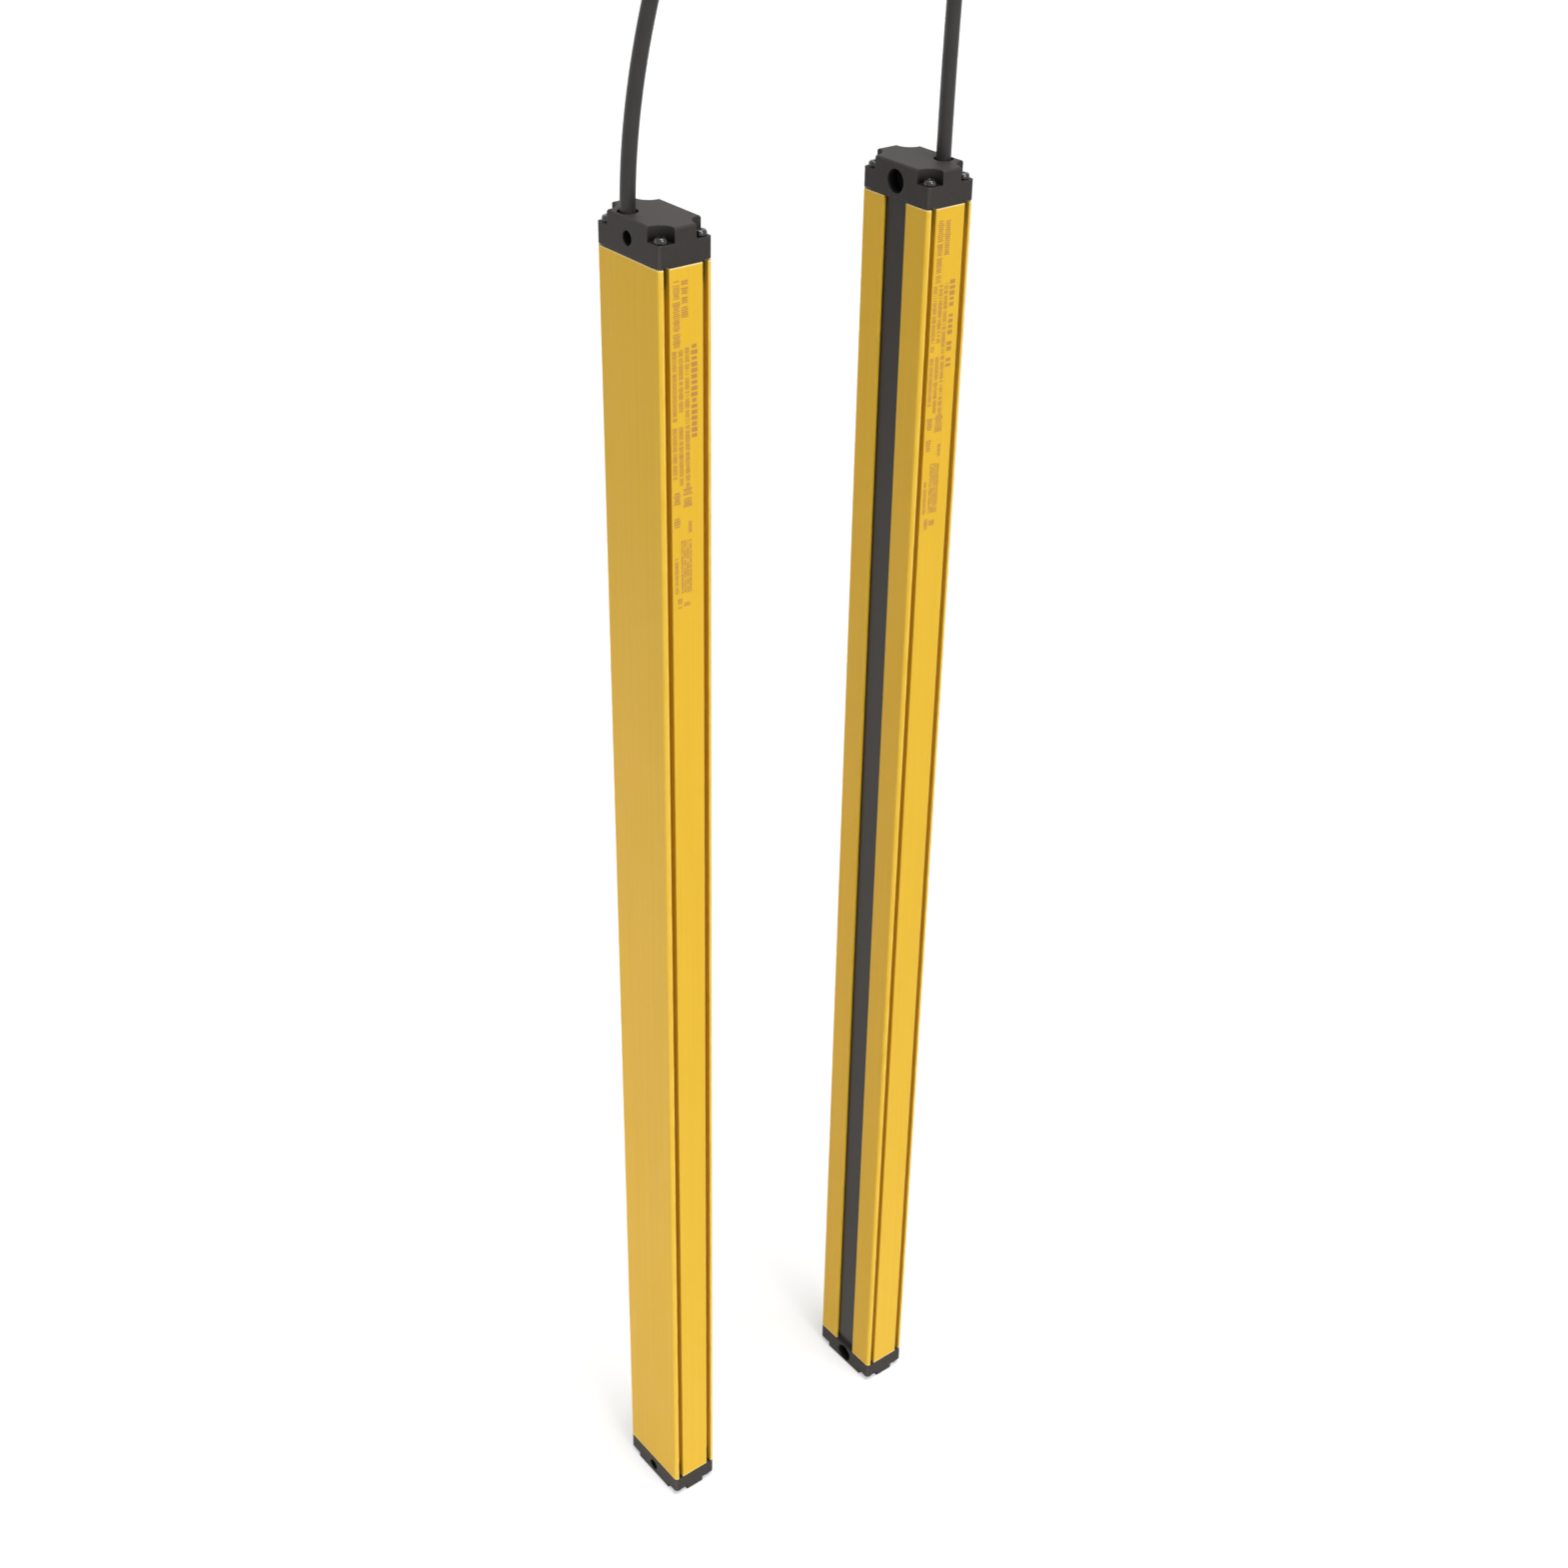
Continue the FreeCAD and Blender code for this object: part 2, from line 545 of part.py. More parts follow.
# -------------------------------------------------------------------------------- end caps
def end_cap(bar, end):
    """Moulded cap: scooped corners over the screws, a counterbored hole for a mounting screw, and a hollow
    plug that enters the chamber. It is drawn with the housing's end at its zero and its crown upwards."""
    body = new_body(f"{bar}_{end}_cap")
    height, floor = f"{end}_cap_height", f"{end}_floor"
    foot = new_sketch(body, "foot", lift="gasket_thickness")
    box(foot, "-half_width", "half_width", "-half_depth", "half_depth")
    pad(body, foot, f"{end}_body", name="block")
    round_edges(body, "corner_radius", upright_at("half_width", "half_depth"), "outer_corners")

    scoops = new_sketch(body, "scoops", lift=height)
    for x in ("notch_x", "-notch_x"):
        for y in ("notch_y", "-notch_y"):
            circle(scoops, x, y, "notch_radius")
    cut(body, scoops, f"{end}_notch_depth", name="scooped_corners")
    bevel_edges(body, "cap_edge", straight_at(height), "crown_edges")

    plug = new_sketch(body, "plug_section", lift="-spigot_depth")
    box(plug, "-spigot_x", "spigot_x", "-spigot_back", "spigot_front")
    pad(body, plug, "spigot_height", name="plug")
    core = new_sketch(body, "core_section", lift="-spigot_depth")
    box(core, "-core_x", "core_x", "-core_back", "core_front")
    cut(body, core, "spigot_depth", up=True, name="hollow_plug")

    for number, (x, y) in corners_of(body):
        prism(body, "Subtractive", "screw_hole_radius", floor, (x, y, "0"), f"screw_hole_{number}")

    mount = new_sketch(body, "mount_hole", "XZ_Plane", "-half_depth")
    circle(mount, "0", f"{end}_hole_height", "mount_hole_radius")
    cut(body, mount, "bar_depth", up=True, name="mounting_hole")
    seat = new_sketch(body, "head_seat", "XZ_Plane", "-half_depth")
    circle(seat, "0", f"{end}_hole_height", "counterbore_radius")
    cut(body, seat, "counterbore_depth", up=True, name="counterbore")

    if end == "top":
        bore = new_sketch(body, "lead_bore_section", lift=height)
        circle(bore, "-cable_offset", "-cable_y", "lead_bore")
        cut(body, bore, height, name="lead_bore")
        entry = new_sketch(body, "cable_entry", lift=height)
        circle(entry, "-cable_offset", "-cable_y", "entry_radius")
        cut(body, entry, "entry_depth", name="gland_recess")
        return stand(body, bar, "profile_top")
    return stand(body, bar, "bottom_cap_height", turned=True)


def gasket(bar, end):
    """Flat rubber sheet between a cap and the housing's end, with its corners cut clear of the screws."""
    body = new_body(f"{bar}_{end}_gasket")
    sheet_outline = new_sketch(body, "sheet_outline")
    outline(
        sheet_outline,
        ("-gasket_cut_x", "-gasket_y"), ("gasket_cut_x", "-gasket_y"), ("gasket_cut_x", "-gasket_cut_y"),
        ("gasket_x", "-gasket_cut_y"), ("gasket_x", "gasket_cut_y"), ("gasket_cut_x", "gasket_cut_y"),
        ("gasket_cut_x", "gasket_y"), ("-gasket_cut_x", "gasket_y"), ("-gasket_cut_x", "gasket_cut_y"),
        ("-gasket_x", "gasket_cut_y"), ("-gasket_x", "-gasket_cut_y"), ("-gasket_cut_x", "-gasket_cut_y"),
    )  # fmt: skip
    pad(body, sheet_outline, "gasket_thickness", name="sheet")
    opening = new_sketch(body, "opening", lift="gasket_thickness")
    box(opening, "-spigot_x", "spigot_x", "-spigot_back", "spigot_front")
    cut(body, opening, "gasket_thickness", name="plug_opening")
    if end == "top":
        return stand(body, bar, "profile_top")
    return stand(body, bar, "bottom_cap_height", turned=True)


def cap_screws(bar, end):
    """Four screws whose heads seat in a cap's scoops and whose ends are cut into the housing's ports."""
    body = new_body(f"{bar}_{end}_screws")
    for number, (x, y) in corners_of(body):
        shank = (x, y, "screw_end")
        prism(body, "Additive", "port_radius", f"{end}_shank", shank, f"shank_{number}")
        prism(body, "Additive", "head_radius", "head_height", (x, y, f"{end}_floor"), f"head_{number}")
    if end == "top":
        return stand(body, bar, "profile_top")
    return stand(body, bar, "bottom_cap_height", turned=True)


# ----------------------------------------------------------------------------- beam optics
def optic_carrier(bar):
    """Moulded channel that holds the lens strip in front of the diodes. The boards slide in its grooves, and
    a web stands between each two beams."""
    body = new_body(f"{bar}_optic_carrier")
    section = new_sketch(body, "section", lift="inner_end")
    outline(
        section,
        ("-carrier_x", "carrier_back"), ("-carrier_in_x", "carrier_back"), ("-carrier_in_x", "groove_back"),
        ("-groove_x", "groove_back"), ("-groove_x", "board_front"), ("-carrier_in_x", "board_front"),
        ("-carrier_in_x", "carrier_in_front"), ("carrier_in_x", "carrier_in_front"),
        ("carrier_in_x", "board_front"), ("groove_x", "board_front"), ("groove_x", "groove_back"),
        ("carrier_in_x", "groove_back"), ("carrier_in_x", "carrier_back"), ("carrier_x", "carrier_back"),
        ("carrier_x", "rail_back"), ("-carrier_x", "rail_back"),
    )  # fmt: skip
    pad(body, section, "inner_length", name="channel")
    for name, start in (("low_end", "inner_end"), ("high_end", "end_wall_top")):
        wall = new_sketch(body, f"{name}_section", lift=start)
        box(wall, "-carrier_in_x", "carrier_in_x", "web_back", "carrier_in_front")
        pad(body, wall, "carrier_wall", name=name)
    web = new_sketch(body, "web_section", lift="first_web")
    box(web, "-carrier_in_x", "carrier_in_x", "web_back", "carrier_in_front")
    first = pad(body, web, "carrier_wall", name="web")
    row_of(body, [first], "Z_Axis", "beam_pitch", "web_count", name="webs")

    seat = new_sketch(body, "seat_section", "XZ_Plane", "-rail_back")
    box(seat, "-seat_half", "seat_half", "seat_low", "seat_high")
    cut(body, seat, "strip_thickness", up=True, name="lens_seat")
    shaft = new_sketch(body, "shaft_section", "XZ_Plane", "-seat_back")
    box(shaft, "-shaft_half", "shaft_half", "shaft_low", "shaft_high")
    light_shaft = cut(body, shaft, "shaft_depth", up=True, name="light_shaft")
    row_of(body, [light_shaft], "Z_Axis", "beam_pitch", "beam_count", grows=False, name="light_shafts")

    lamps = new_sketch(body, "lamp_slots", "XZ_Plane", "-rail_back")
    for left, right in (("-slot_out", "-slot_in"), ("-slot_x", "slot_x"), ("slot_in", "slot_out")):
        box(lamps, left, right, "slot_low", "slot_high")
    cut(body, lamps, "carrier_face", up=True, name="lamp_openings")
    return stand(body, bar, "bottom_cap_height")


def lens_strip(bar):
    """Clear moulded strip in the carrier's face, with a raised square lens for each beam."""
    body = new_body(f"{bar}_lens_strip")
    section = new_sketch(body, "section", lift="strip_low")
    box(section, "-strip_half", "strip_half", "seat_back", "rail_back")
    pad(body, section, "strip_length", name="strip")
    face = new_sketch(body, "lens_section", "XZ_Plane", "-rail_back")
    box(face, "-lens_half", "lens_half", "lens_low", "lens_high")
    lens = pad(body, face, "lens_rise", down=True, name="lens")
    row_of(body, [lens], "Z_Axis", "beam_pitch", "beam_count", name="lenses")
    return stand(body, bar, "bottom_cap_height")


def beam_diodes(bar):
    """An infrared diode behind each lens: senders in the emitter, receivers in the receiver."""
    body = new_body(f"{bar}_beam_diodes")
    section = new_sketch(body, "section", "XZ_Plane", "-board_front")
    box(section, "-diode_half", "diode_half", "diode_low", "diode_high")
    diode = pad(body, section, "diode_rise", down=True, name="diode")
    row_of(body, [diode], "Z_Axis", "beam_pitch", "beam_count")
    return stand(body, bar, "bottom_cap_height")


# ------------------------------------------------------------------------------ electronics
def circuit_board(bar, level, start, length):
    """Glass-fibre board in the carrier's grooves, over half of the bar."""
    body = new_body(f"{bar}_{level}_board")
    section = new_sketch(body, "section", lift=start)
    box(section, "-board_x", "board_x", "board_back", "board_front")
    pad(body, section, length, name="board")
    return stand(body, bar, "bottom_cap_height")


def board_link(bar):
    """Plug and socket that join the two boards."""
    body = new_body(f"{bar}_board_link")
    section = new_sketch(body, "section", "XZ_Plane", "-board_back")
    box(section, "-link_half", "link_half", "link_low", "link_high")
    pad(body, section, "link_rise", name="block")
    return stand(body, bar, "bottom_cap_height")


def driver_chips(bar):
    """A driver chip on the boards for each two beams."""
    body = new_body(f"{bar}_driver_chips")
    section = new_sketch(body, "section", "XZ_Plane", "-board_back")
    box(section, "driver_in", "driver_out", "driver_low", "driver_high")
    chip = pad(body, section, "driver_rise", name="chip")
    row_of(body, [chip], "Z_Axis", "driver_spacing", "driver_count")
    return stand(body, bar, "bottom_cap_height")


def capacitors(bar):
    """Supply capacitors on the boards."""
    body = new_body(f"{bar}_capacitors")
    section = new_sketch(body, "section", "XZ_Plane", "-board_back")
    box(section, "-capacitor_out", "-capacitor_in", "capacitor_low", "capacitor_high")
    block = pad(body, section, "capacitor_rise", name="block")
    row_of(body, [block], "Z_Axis", "capacitor_spacing", "capacitor_count")
    return stand(body, bar, "bottom_cap_height")


def status_lamps(bar):
    """Three small lamps with light pipes that end behind the window's foot."""
    body = new_body(f"{bar}_status_lamps")
    bases = new_sketch(body, "bases", "XZ_Plane", "-board_front")
    for left, right in (("-lamp_out", "-lamp_in"), ("-lamp_half", "lamp_half"), ("lamp_in", "lamp_out")):
        box(bases, left, right, "lamp_low", "lamp_high")
    pad(body, bases, "lamp_rise", down=True, name="lamp_bases")
    pipes = new_sketch(body, "pipes", "XZ_Plane", "-board_front")
    for left, right in (("-pipe_out", "-pipe_in"), ("-pipe_half", "pipe_half"), ("pipe_in", "pipe_out")):
        box(pipes, left, right, "pipe_low", "pipe_high")
    pad(body, pipes, "pipe_length", down=True, name="light_pipes")
    return stand(body, bar, "bottom_cap_height")


# -------------------------------------------------------------------------------- cable entry
def cable_gland(bar):
    """Twelve-sided rubber bush that grips the cable in the top cap's recess."""
    body = new_body(f"{bar}_cable_gland")
    seat = ("-cable_offset", "-cable_y", "entry_floor")
    prism(body, "Additive", "gland_radius", "gland_height", seat, "bush", sides=12)
    bore = new_sketch(body, "bore_section", lift="entry_floor")
    circle(bore, "-cable_offset", "-cable_y", "cable_radius")
    cut(body, bore, "gland_height", up=True, name="bore")
    return stand(body, bar, "profile_top")


def inner_lead(bar):
    """The bundle of the cable's wires inside the cap, from the gland's seat down to the wire plug."""
    body = new_body(f"{bar}_inner_lead")
    foot = ("-cable_offset", "-cable_y", "lead_foot")
    prism(body, "Additive", "lead_radius", "lead_length", foot, "bundle", sides=6)
    return stand(body, bar, "profile_top")


def lead_plug(bar):
    """Wire plug on the upper board, right under the lead."""
    body = new_body(f"{bar}_lead_plug")
    section = new_sketch(body, "section", "XZ_Plane", "-board_back")
    box(section, "-plug_out", "-plug_in", "plug_low", "inner_top")
    pad(body, section, "plug_rise", name="block")
    return stand(body, bar, "bottom_cap_height")


# -------------------------------------------------------------------------------------- cables
# Each cable climbs from its cap, as something above the bars holds it. The points are offsets from the
# point where it leaves the gland's seat: the emitter's leans over gently, the receiver's is all but plumb.
ROUTES = {
    "emitter": [(0, 0, 0), (0, 0, 52), (9.8, 12.8, 108)],
    "receiver": [(0, 0, 0), (0, 0, 53), (1.2, 1.6, 108)],
}
ARC_SHARE = 0.45  # of the shorter run, that an arc takes at each end


def cord_path(points):
    """Straight runs joined by tangent arcs, as one wire, with the radii of the arcs."""
    edges, radii = [], []
    here = points[0]
    for before, corner, after in zip(points, points[1:], points[2:]):
        run_in, run_out = corner - before, after - corner
        reach = ARC_SHARE * min(run_in.Length, run_out.Length)
        half_turn = run_in.getAngle(run_out) / 2
        into, away = Vector(run_in).normalize(), Vector(run_out).normalize()
        start, end = corner - into * reach, corner + away * reach
        radius = reach / math.tan(half_turn)
        sagitta = radius * (1 / math.cos(half_turn) - 1)
        inward = (away - into).normalize()
        edges.append(Part.LineSegment(here, start).toShape())
        edges.append(Part.Arc(start, corner + inward * sagitta, end).toShape())
        radii.append(radius)
        here = end
    edges.append(Part.LineSegment(here, points[-1]).toShape())
    return Part.Wire(edges), radii


def route_of(bar):
    """The cable's points in the whole model's frame."""
    across, heading = BARS[bar]
    foot = Rotation(Vector(0, 0, 1), heading).multVec(Vector(-size("cable_offset"), -size("cable_y"), 0))
    seat = Vector(0, size(across), size("profile_top") + size("entry_floor"))
    return [foot + seat + Vector(*offset) for offset in ROUTES[bar]]


def cable(bar):
    """Round jacketed cable from the gland to the connector."""
    points = route_of(bar)
    wire, radii = cord_path(points)
    rim = Part.Wire(Part.Circle(points[0], points[1] - points[0], size("cable_radius")).toShape())
    tube = wire.makePipeShell([rim], True, False)
    share = tube.Volume / (math.pi * size("cable_radius") ** 2 * wire.Length)
    print(f"{bar} cable: {wire.Length:.1f} mm, radii", [round(r) for r in radii], f"volume share {share:.4f}")
    feature = doc.addObject("Part::Feature", f"{bar}_cable")
    feature.Label = f"{bar}_cable"
    feature.Shape = tube
    pieces.append(feature)


# ----------------------------------------------------------------------------- cable connectors
def on_cable(body, bar):
    """Puts a connector piece, drawn upright from the cable's end, on the cable's end."""
    points = route_of(bar)
    body.Placement = Placement(points[-1], Rotation(Vector(0, 0, 1), points[-1] - points[-2]))
    return body


def connector_grip(bar):
    """Eight-sided moulded grip with a narrower tail round the cable's end."""
    body = new_body(f"{bar}_connector_grip")
    prism(body, "Additive", "tail_radius", "tail_length", ("0", "0", "0"), "tail", sides=8)
    prism(body, "Additive", "grip_radius", "grip_body", ("0", "0", "tail_length"), "grip", sides=8)
    return on_cable(body, bar)


def connector_nut(bar):
    """Six-sided coupling nut with its thread inside."""
    body = new_body(f"{bar}_connector_nut")
    prism(body, "Additive", "nut_radius", "nut_length", ("0", "0", "grip_length"), "hexagon", sides=6)
    bore = new_sketch(body, "bore_section", lift="grip_length")
    circle(bore, "0", "0", "thread_radius")
    cut(body, bore, "nut_length", up=True, name="bore")
    return on_cable(body, bar)


def connector_insert(bar):
    """Contact insert that stands on the grip inside the nut."""
    body = new_body(f"{bar}_connector_insert")
    prism(body, "Additive", "insert_radius", "insert_length", ("0", "0", "grip_length"), "insert", sides=12)
    return on_cable(body, bar)


# ------------------------------------------------------------------------------------ assembly
for bar in BARS:
    housing(bar)
    window(bar)
    window_seal(bar)
    window_sill(bar)
    for end in ("top", "bottom"):
        end_cap(bar, end)
        gasket(bar, end)
        cap_screws(bar, end)
    optic_carrier(bar)
    lens_strip(bar)
    beam_diodes(bar)
    circuit_board(bar, "lower", "inner_end", "lower_board")
    circuit_board(bar, "upper", "upper_board_start", "upper_board")
    board_link(bar)
    driver_chips(bar)
    capacitors(bar)
    status_lamps(bar)
    cable_gland(bar)
    inner_lead(bar)
    lead_plug(bar)
    cable(bar)
    connector_grip(bar)
    connector_nut(bar)
    connector_insert(bar)
doc.recompute()

for thing in doc.Objects:
    if {"Invalid", "Error"} & set(thing.State):
        raise RuntimeError(f"{thing.Label}: {thing.State}")
os.makedirs("parts", exist_ok=True)
for piece in pieces:
    if piece.Shape.isNull() or not piece.Shape.isValid() or not piece.Shape.Solids:
        raise RuntimeError(f"{piece.Label}: its shape isn't a valid solid")
for piece in pieces:
    piece.Shape.exportStep(f"parts/{piece.Label}.step")
print(len(pieces), "pieces")
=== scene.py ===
# Safety light curtain: an emitter bar and a receiver bar that stand upright and face each other across
# the guarded field. Each is a yellow housing with a tinted window, closed by two screwed end caps, and
# its cable climbs from the top cap to a round connector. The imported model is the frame; this dresses it.
import math
import random

import bmesh
import bpy
from mathutils import Matrix, Vector


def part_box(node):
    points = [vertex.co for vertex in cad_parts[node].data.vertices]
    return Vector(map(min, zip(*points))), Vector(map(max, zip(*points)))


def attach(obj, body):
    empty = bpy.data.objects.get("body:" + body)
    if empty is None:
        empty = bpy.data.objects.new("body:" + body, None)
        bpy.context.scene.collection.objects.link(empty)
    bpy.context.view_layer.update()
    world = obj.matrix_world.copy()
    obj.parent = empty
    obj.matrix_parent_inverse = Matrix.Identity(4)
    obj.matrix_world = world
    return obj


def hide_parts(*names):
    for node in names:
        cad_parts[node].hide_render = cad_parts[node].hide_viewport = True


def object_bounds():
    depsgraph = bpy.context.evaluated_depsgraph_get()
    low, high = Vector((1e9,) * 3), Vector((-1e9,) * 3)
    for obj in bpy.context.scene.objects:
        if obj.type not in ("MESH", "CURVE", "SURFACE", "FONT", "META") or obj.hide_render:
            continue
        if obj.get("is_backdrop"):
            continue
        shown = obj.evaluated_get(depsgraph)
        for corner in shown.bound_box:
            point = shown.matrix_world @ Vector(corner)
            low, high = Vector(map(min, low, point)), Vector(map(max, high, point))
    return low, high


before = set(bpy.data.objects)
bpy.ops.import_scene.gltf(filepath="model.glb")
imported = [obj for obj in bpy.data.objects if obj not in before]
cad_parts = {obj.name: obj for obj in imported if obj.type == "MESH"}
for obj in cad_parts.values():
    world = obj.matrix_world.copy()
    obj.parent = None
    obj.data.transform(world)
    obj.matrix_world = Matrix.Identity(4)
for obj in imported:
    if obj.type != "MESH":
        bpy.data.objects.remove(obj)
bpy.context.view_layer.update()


# --------------------------------------------------------------------------------------- housings
# Each housing is one length of extruded aluminium with a wide back, grooved label sides and a slot in
# front for the window. Its satin yellow coat shows the draw of the die along the bar and is lighter
# along edges that handling has rubbed. Painted highlights run down its outer corners, along the lips of
# its grooves and along its sawn ends, and painted shade darkens its grooves. Both end caps are screwed
# into its ports.
BARS = ("emitter", "receiver")
bar_middle = 0.0725  # from the set's middle plane to each bar's own
corner_reach = 0.0360  # half a bar's width and half its depth together
lip_middle = 0.0117  # from a bar's middle plane to the lip on the outer side of each groove
housing_middle = 0.3715  # height of the housings' middle, and half their length
housing_half = 0.3585


class Value:
    """A number that changes over a surface. A sum on it adds Math nodes to its finish."""

    def __init__(self, finish, socket):
        self.finish = finish
        self.socket = socket

    def part(self, name):
        """Another output of the same node."""
        return Value(self.finish, self.socket.node.outputs[name])

    def worked(self, operation, first, second=0.0):
        return self.finish.node("Math", {"operation": operation}, {0: first, 1: second})

    def fraction(self):
        return self.worked("FRACT", self)

    def __abs__(self):
        return self.worked("ABSOLUTE", self)

    def __add__(self, other):
        return self.worked("ADD", self, other)

    def __radd__(self, other):
        return self.worked("ADD", other, self)

    def __sub__(self, other):
        return self.worked("SUBTRACT", self, other)

    def __rsub__(self, other):
        return self.worked("SUBTRACT", other, self)

    def __mul__(self, other):
        return self.worked("MULTIPLY", self, other)

    def __rmul__(self, other):
        return self.worked("MULTIPLY", other, self)

    def __gt__(self, edge):
        return self.worked("GREATER_THAN", self, edge)

    def __lt__(self, edge):
        return self.worked("LESS_THAN", self, edge)


class Finish:
    """A material made of nodes, for one kind of surface of the light curtain."""

    def __init__(self, name, blocks=bpy.data.materials):
        self.material = blocks.new(name)
        self.material.use_nodes = True
        self.tree = self.material.node_tree
        self.tree.nodes.clear()

    def node(self, kind, settings, sockets, output=0):
        """Adds a node: its settings first, then a value or a link for each of its sockets."""
        made = self.tree.nodes.new("ShaderNode" + kind)
        for name, setting in settings.items():
            if name == "bands":
                made.color_ramp.interpolation = "CONSTANT"
                made.color_ramp.elements.remove(made.color_ramp.elements[0])
                for number, (place, shade) in enumerate(setting):
                    if number:
                        made.color_ramp.elements.new(place)
                    made.color_ramp.elements[number].position = place
                    made.color_ramp.elements[number].color = shade
            else:
                setattr(made, name, setting)
        for name, value in sockets.items():
            if isinstance(value, Value):
                self.tree.links.new(value.socket, made.inputs[name])
            else:
                made.inputs[name].default_value = value
        return Value(self, made.outputs[output] if made.outputs else None)

    def where(self):
        """The place on the piece, in metres."""
        return self.node("TexCoord", {}, {}, "Object")

    def grain(self, cells, stretch=(1, 1, 1), detail=2, spread=0.5):
        """Noise with this many cells a metre, 0 to 1, drawn out along an axis by a small stretch."""
        place = self.node("VectorMath", {"operation": "MULTIPLY"}, {0: self.where(), 1: stretch})
        return self.node(
            "TexNoise", {}, {"Vector": place, "Scale": cells, "Detail": detail, "Roughness": spread}
        )

    def ranged(self, value, low, high, start=0.0, end=1.0):
        """The value's range from low to high, spread over start to end and held there."""
        sockets = {"Value": value, "From Min": low, "From Max": high, "To Min": start, "To Max": end}
        return self.node("MapRange", {}, sockets)

    def mixed(self, share, colour_a, colour_b):
        return self.node("Mix", {"data_type": "RGBA"}, {0: share, 6: colour_a, 7: colour_b}, 2)

    def split(self, vector):
        """The three numbers of a vector."""
        first = self.node("SeparateXYZ", {}, {0: vector})
        return first, first.part("Y"), first.part("Z")

    def facing(self):
        """How far the surface faces along X, Y and Z."""
        return self.split(self.node("NewGeometry", {}, {}, "Normal"))

    def rounded(self, radius):
        """The normal of a surface whose edges are softened to this radius."""
        return self.node("Bevel", {"samples": 6}, {"Radius": radius})

    def edges(self, radius):
        """1 along edges of about this radius, 0 elsewhere."""
        flat = self.node("NewGeometry", {}, {}, "Normal")
        facing = {"operation": "DOT_PRODUCT"}
        along = self.node("VectorMath", facing, {0: self.rounded(radius), 1: flat}, "Value")
        return self.ranged(along, 0.995, 0.80)

    def hollow(self, reach, least_sky=0.50):
        """1 far inside a hole or a groove of about this reach, where this much sky is left, 0 in the open.
        The finishes use this occlusion mask to paint shade into hollows.
        """
        sky = self.node("AmbientOcclusion", {"samples": 8, "only_local": True}, {"Distance": reach}, "AO")
        return self.ranged(sky, 0.90, least_sky)

    def relief(self, height, depth, under=None):
        """Bump of this depth in metres, over a softened normal if one is given."""
        sockets = {"Height": height, "Distance": depth, "Strength": 1.0}
        if under:
            sockets["Normal"] = under
        return self.node("Bump", {}, sockets)

    def surface(self, **sockets):
        """Ends the finish with its shader. Underscores in the names stand for spaces."""
        named = {name.replace("_", " "): value for name, value in sockets.items()}
        shader = self.node("BsdfPrincipled", {}, named)
        self.node("OutputMaterial", {}, {"Surface": shader})
        return self


def tone(red, green, blue):
    """A colour from its eight-bit screen values."""
    screen = [c / 255 for c in (red, green, blue)]
    return (*[((c + 0.055) / 1.055) ** 2.4 if c > 0.04 else c / 12.92 for c in screen], 1.0)


def dress(finish, *parts):
    """Gives these parts of both bars their finish."""
    for bar in BARS:
        for part in parts:
            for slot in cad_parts[f"{bar}_{part}"].material_slots:
                slot.material = finish.material


coat = Finish("yellow_coat")
drawn = coat.ranged(coat.grain(1, stretch=(1900, 1900, 7), detail=3), 0.32, 0.68)
satin = coat.grain(4200, detail=2, spread=0.6)
clouds = coat.grain(11, stretch=(1, 1, 0.4), detail=3)
handled = coat.ranged(coat.grain(38, stretch=(1, 1, 0.5), detail=4, spread=0.65), 0.45, 0.75)
x, y, z = coat.split(coat.where())
across = abs(abs(y) - bar_middle)
# Painted highlight: a bright line down each outer corner of the housing.
corner = coat.ranged(abs(x) + across, corner_reach - 0.0014, corner_reach - 0.0010)
# Painted highlight: a bright line along the lip on the outer side of each groove.
lip_highlight = coat.ranged(abs(across - lip_middle), 0.0006, 0.0003)
# Painted highlight: a bright line along the sawn ends, under the caps.
end_highlight = coat.ranged(abs(z - housing_middle), housing_half - 0.0006, housing_half - 0.0002)
rubbed = coat.ranged(coat.grain(420, stretch=(1, 1, 0.2), detail=3), 0.30, 0.65, 0.35, 1.0)
# Real edge wear and the painted highlights together, broken up by the noise.
wear_and_highlight = coat.ranged(coat.edges(0.0009) + 0.6 * corner + lip_highlight, 0.0, 1.0) * rubbed
# Painted shade: the base colour goes dark brown deep in the grooves and other hollows of the housing.
hollow_shade = coat.hollow(0.0045)
mottled = 0.5 * clouds + 0.3 * drawn + 0.2 * satin
open_tone = coat.mixed(mottled, tone(223, 175, 32), tone(242, 196, 52))
wear_and_highlight_tone = coat.mixed(0.7 * wear_and_highlight, open_tone, tone(253, 219, 100))
end_highlight_tone = coat.mixed(0.8 * end_highlight, wear_and_highlight_tone, tone(255, 236, 184))
coat.surface(
    Base_Color=coat.mixed(0.28 * hollow_shade, end_highlight_tone, tone(150, 88, 4)),
    Metallic=0.10 * wear_and_highlight,
    Roughness=0.40 + 0.10 * satin + 0.07 * handled,
    Specular_IOR_Level=0.27,
    Normal=coat.relief(0.5 * satin + 0.5 * drawn, 0.000016, coat.rounded(0.0006)),
)
dress(coat, "housing")


# ---------------------------------------------------------------------------------------- windows
# The window is a strip of infrared-passing acrylic, near black to the eye, that slides into the rails
# of the housing's slot. It rests on a rubber sill, and a thin rubber loop behind it keeps dust out.
smoke = Finish("tinted_window")
film = smoke.grain(1, stretch=(700, 700, 5), detail=3)
dust = smoke.ranged(smoke.grain(2600, detail=1), 0.72, 0.80)
wiped = smoke.grain(60, stretch=(1, 1, 0.15), detail=3)
tint = smoke.mixed(wiped, tone(32, 26, 20), tone(40, 33, 27))
smoke.surface(
    Base_Color=smoke.mixed(0.25 * dust, tint, tone(96, 90, 84)),
    Roughness=0.30 + 0.10 * wiped + 0.15 * dust,
    Specular_IOR_Level=0.25,
    Normal=smoke.relief(0.8 * film + 0.2 * wiped, 0.000008, smoke.rounded(0.0003)),
)
dress(smoke, "window")

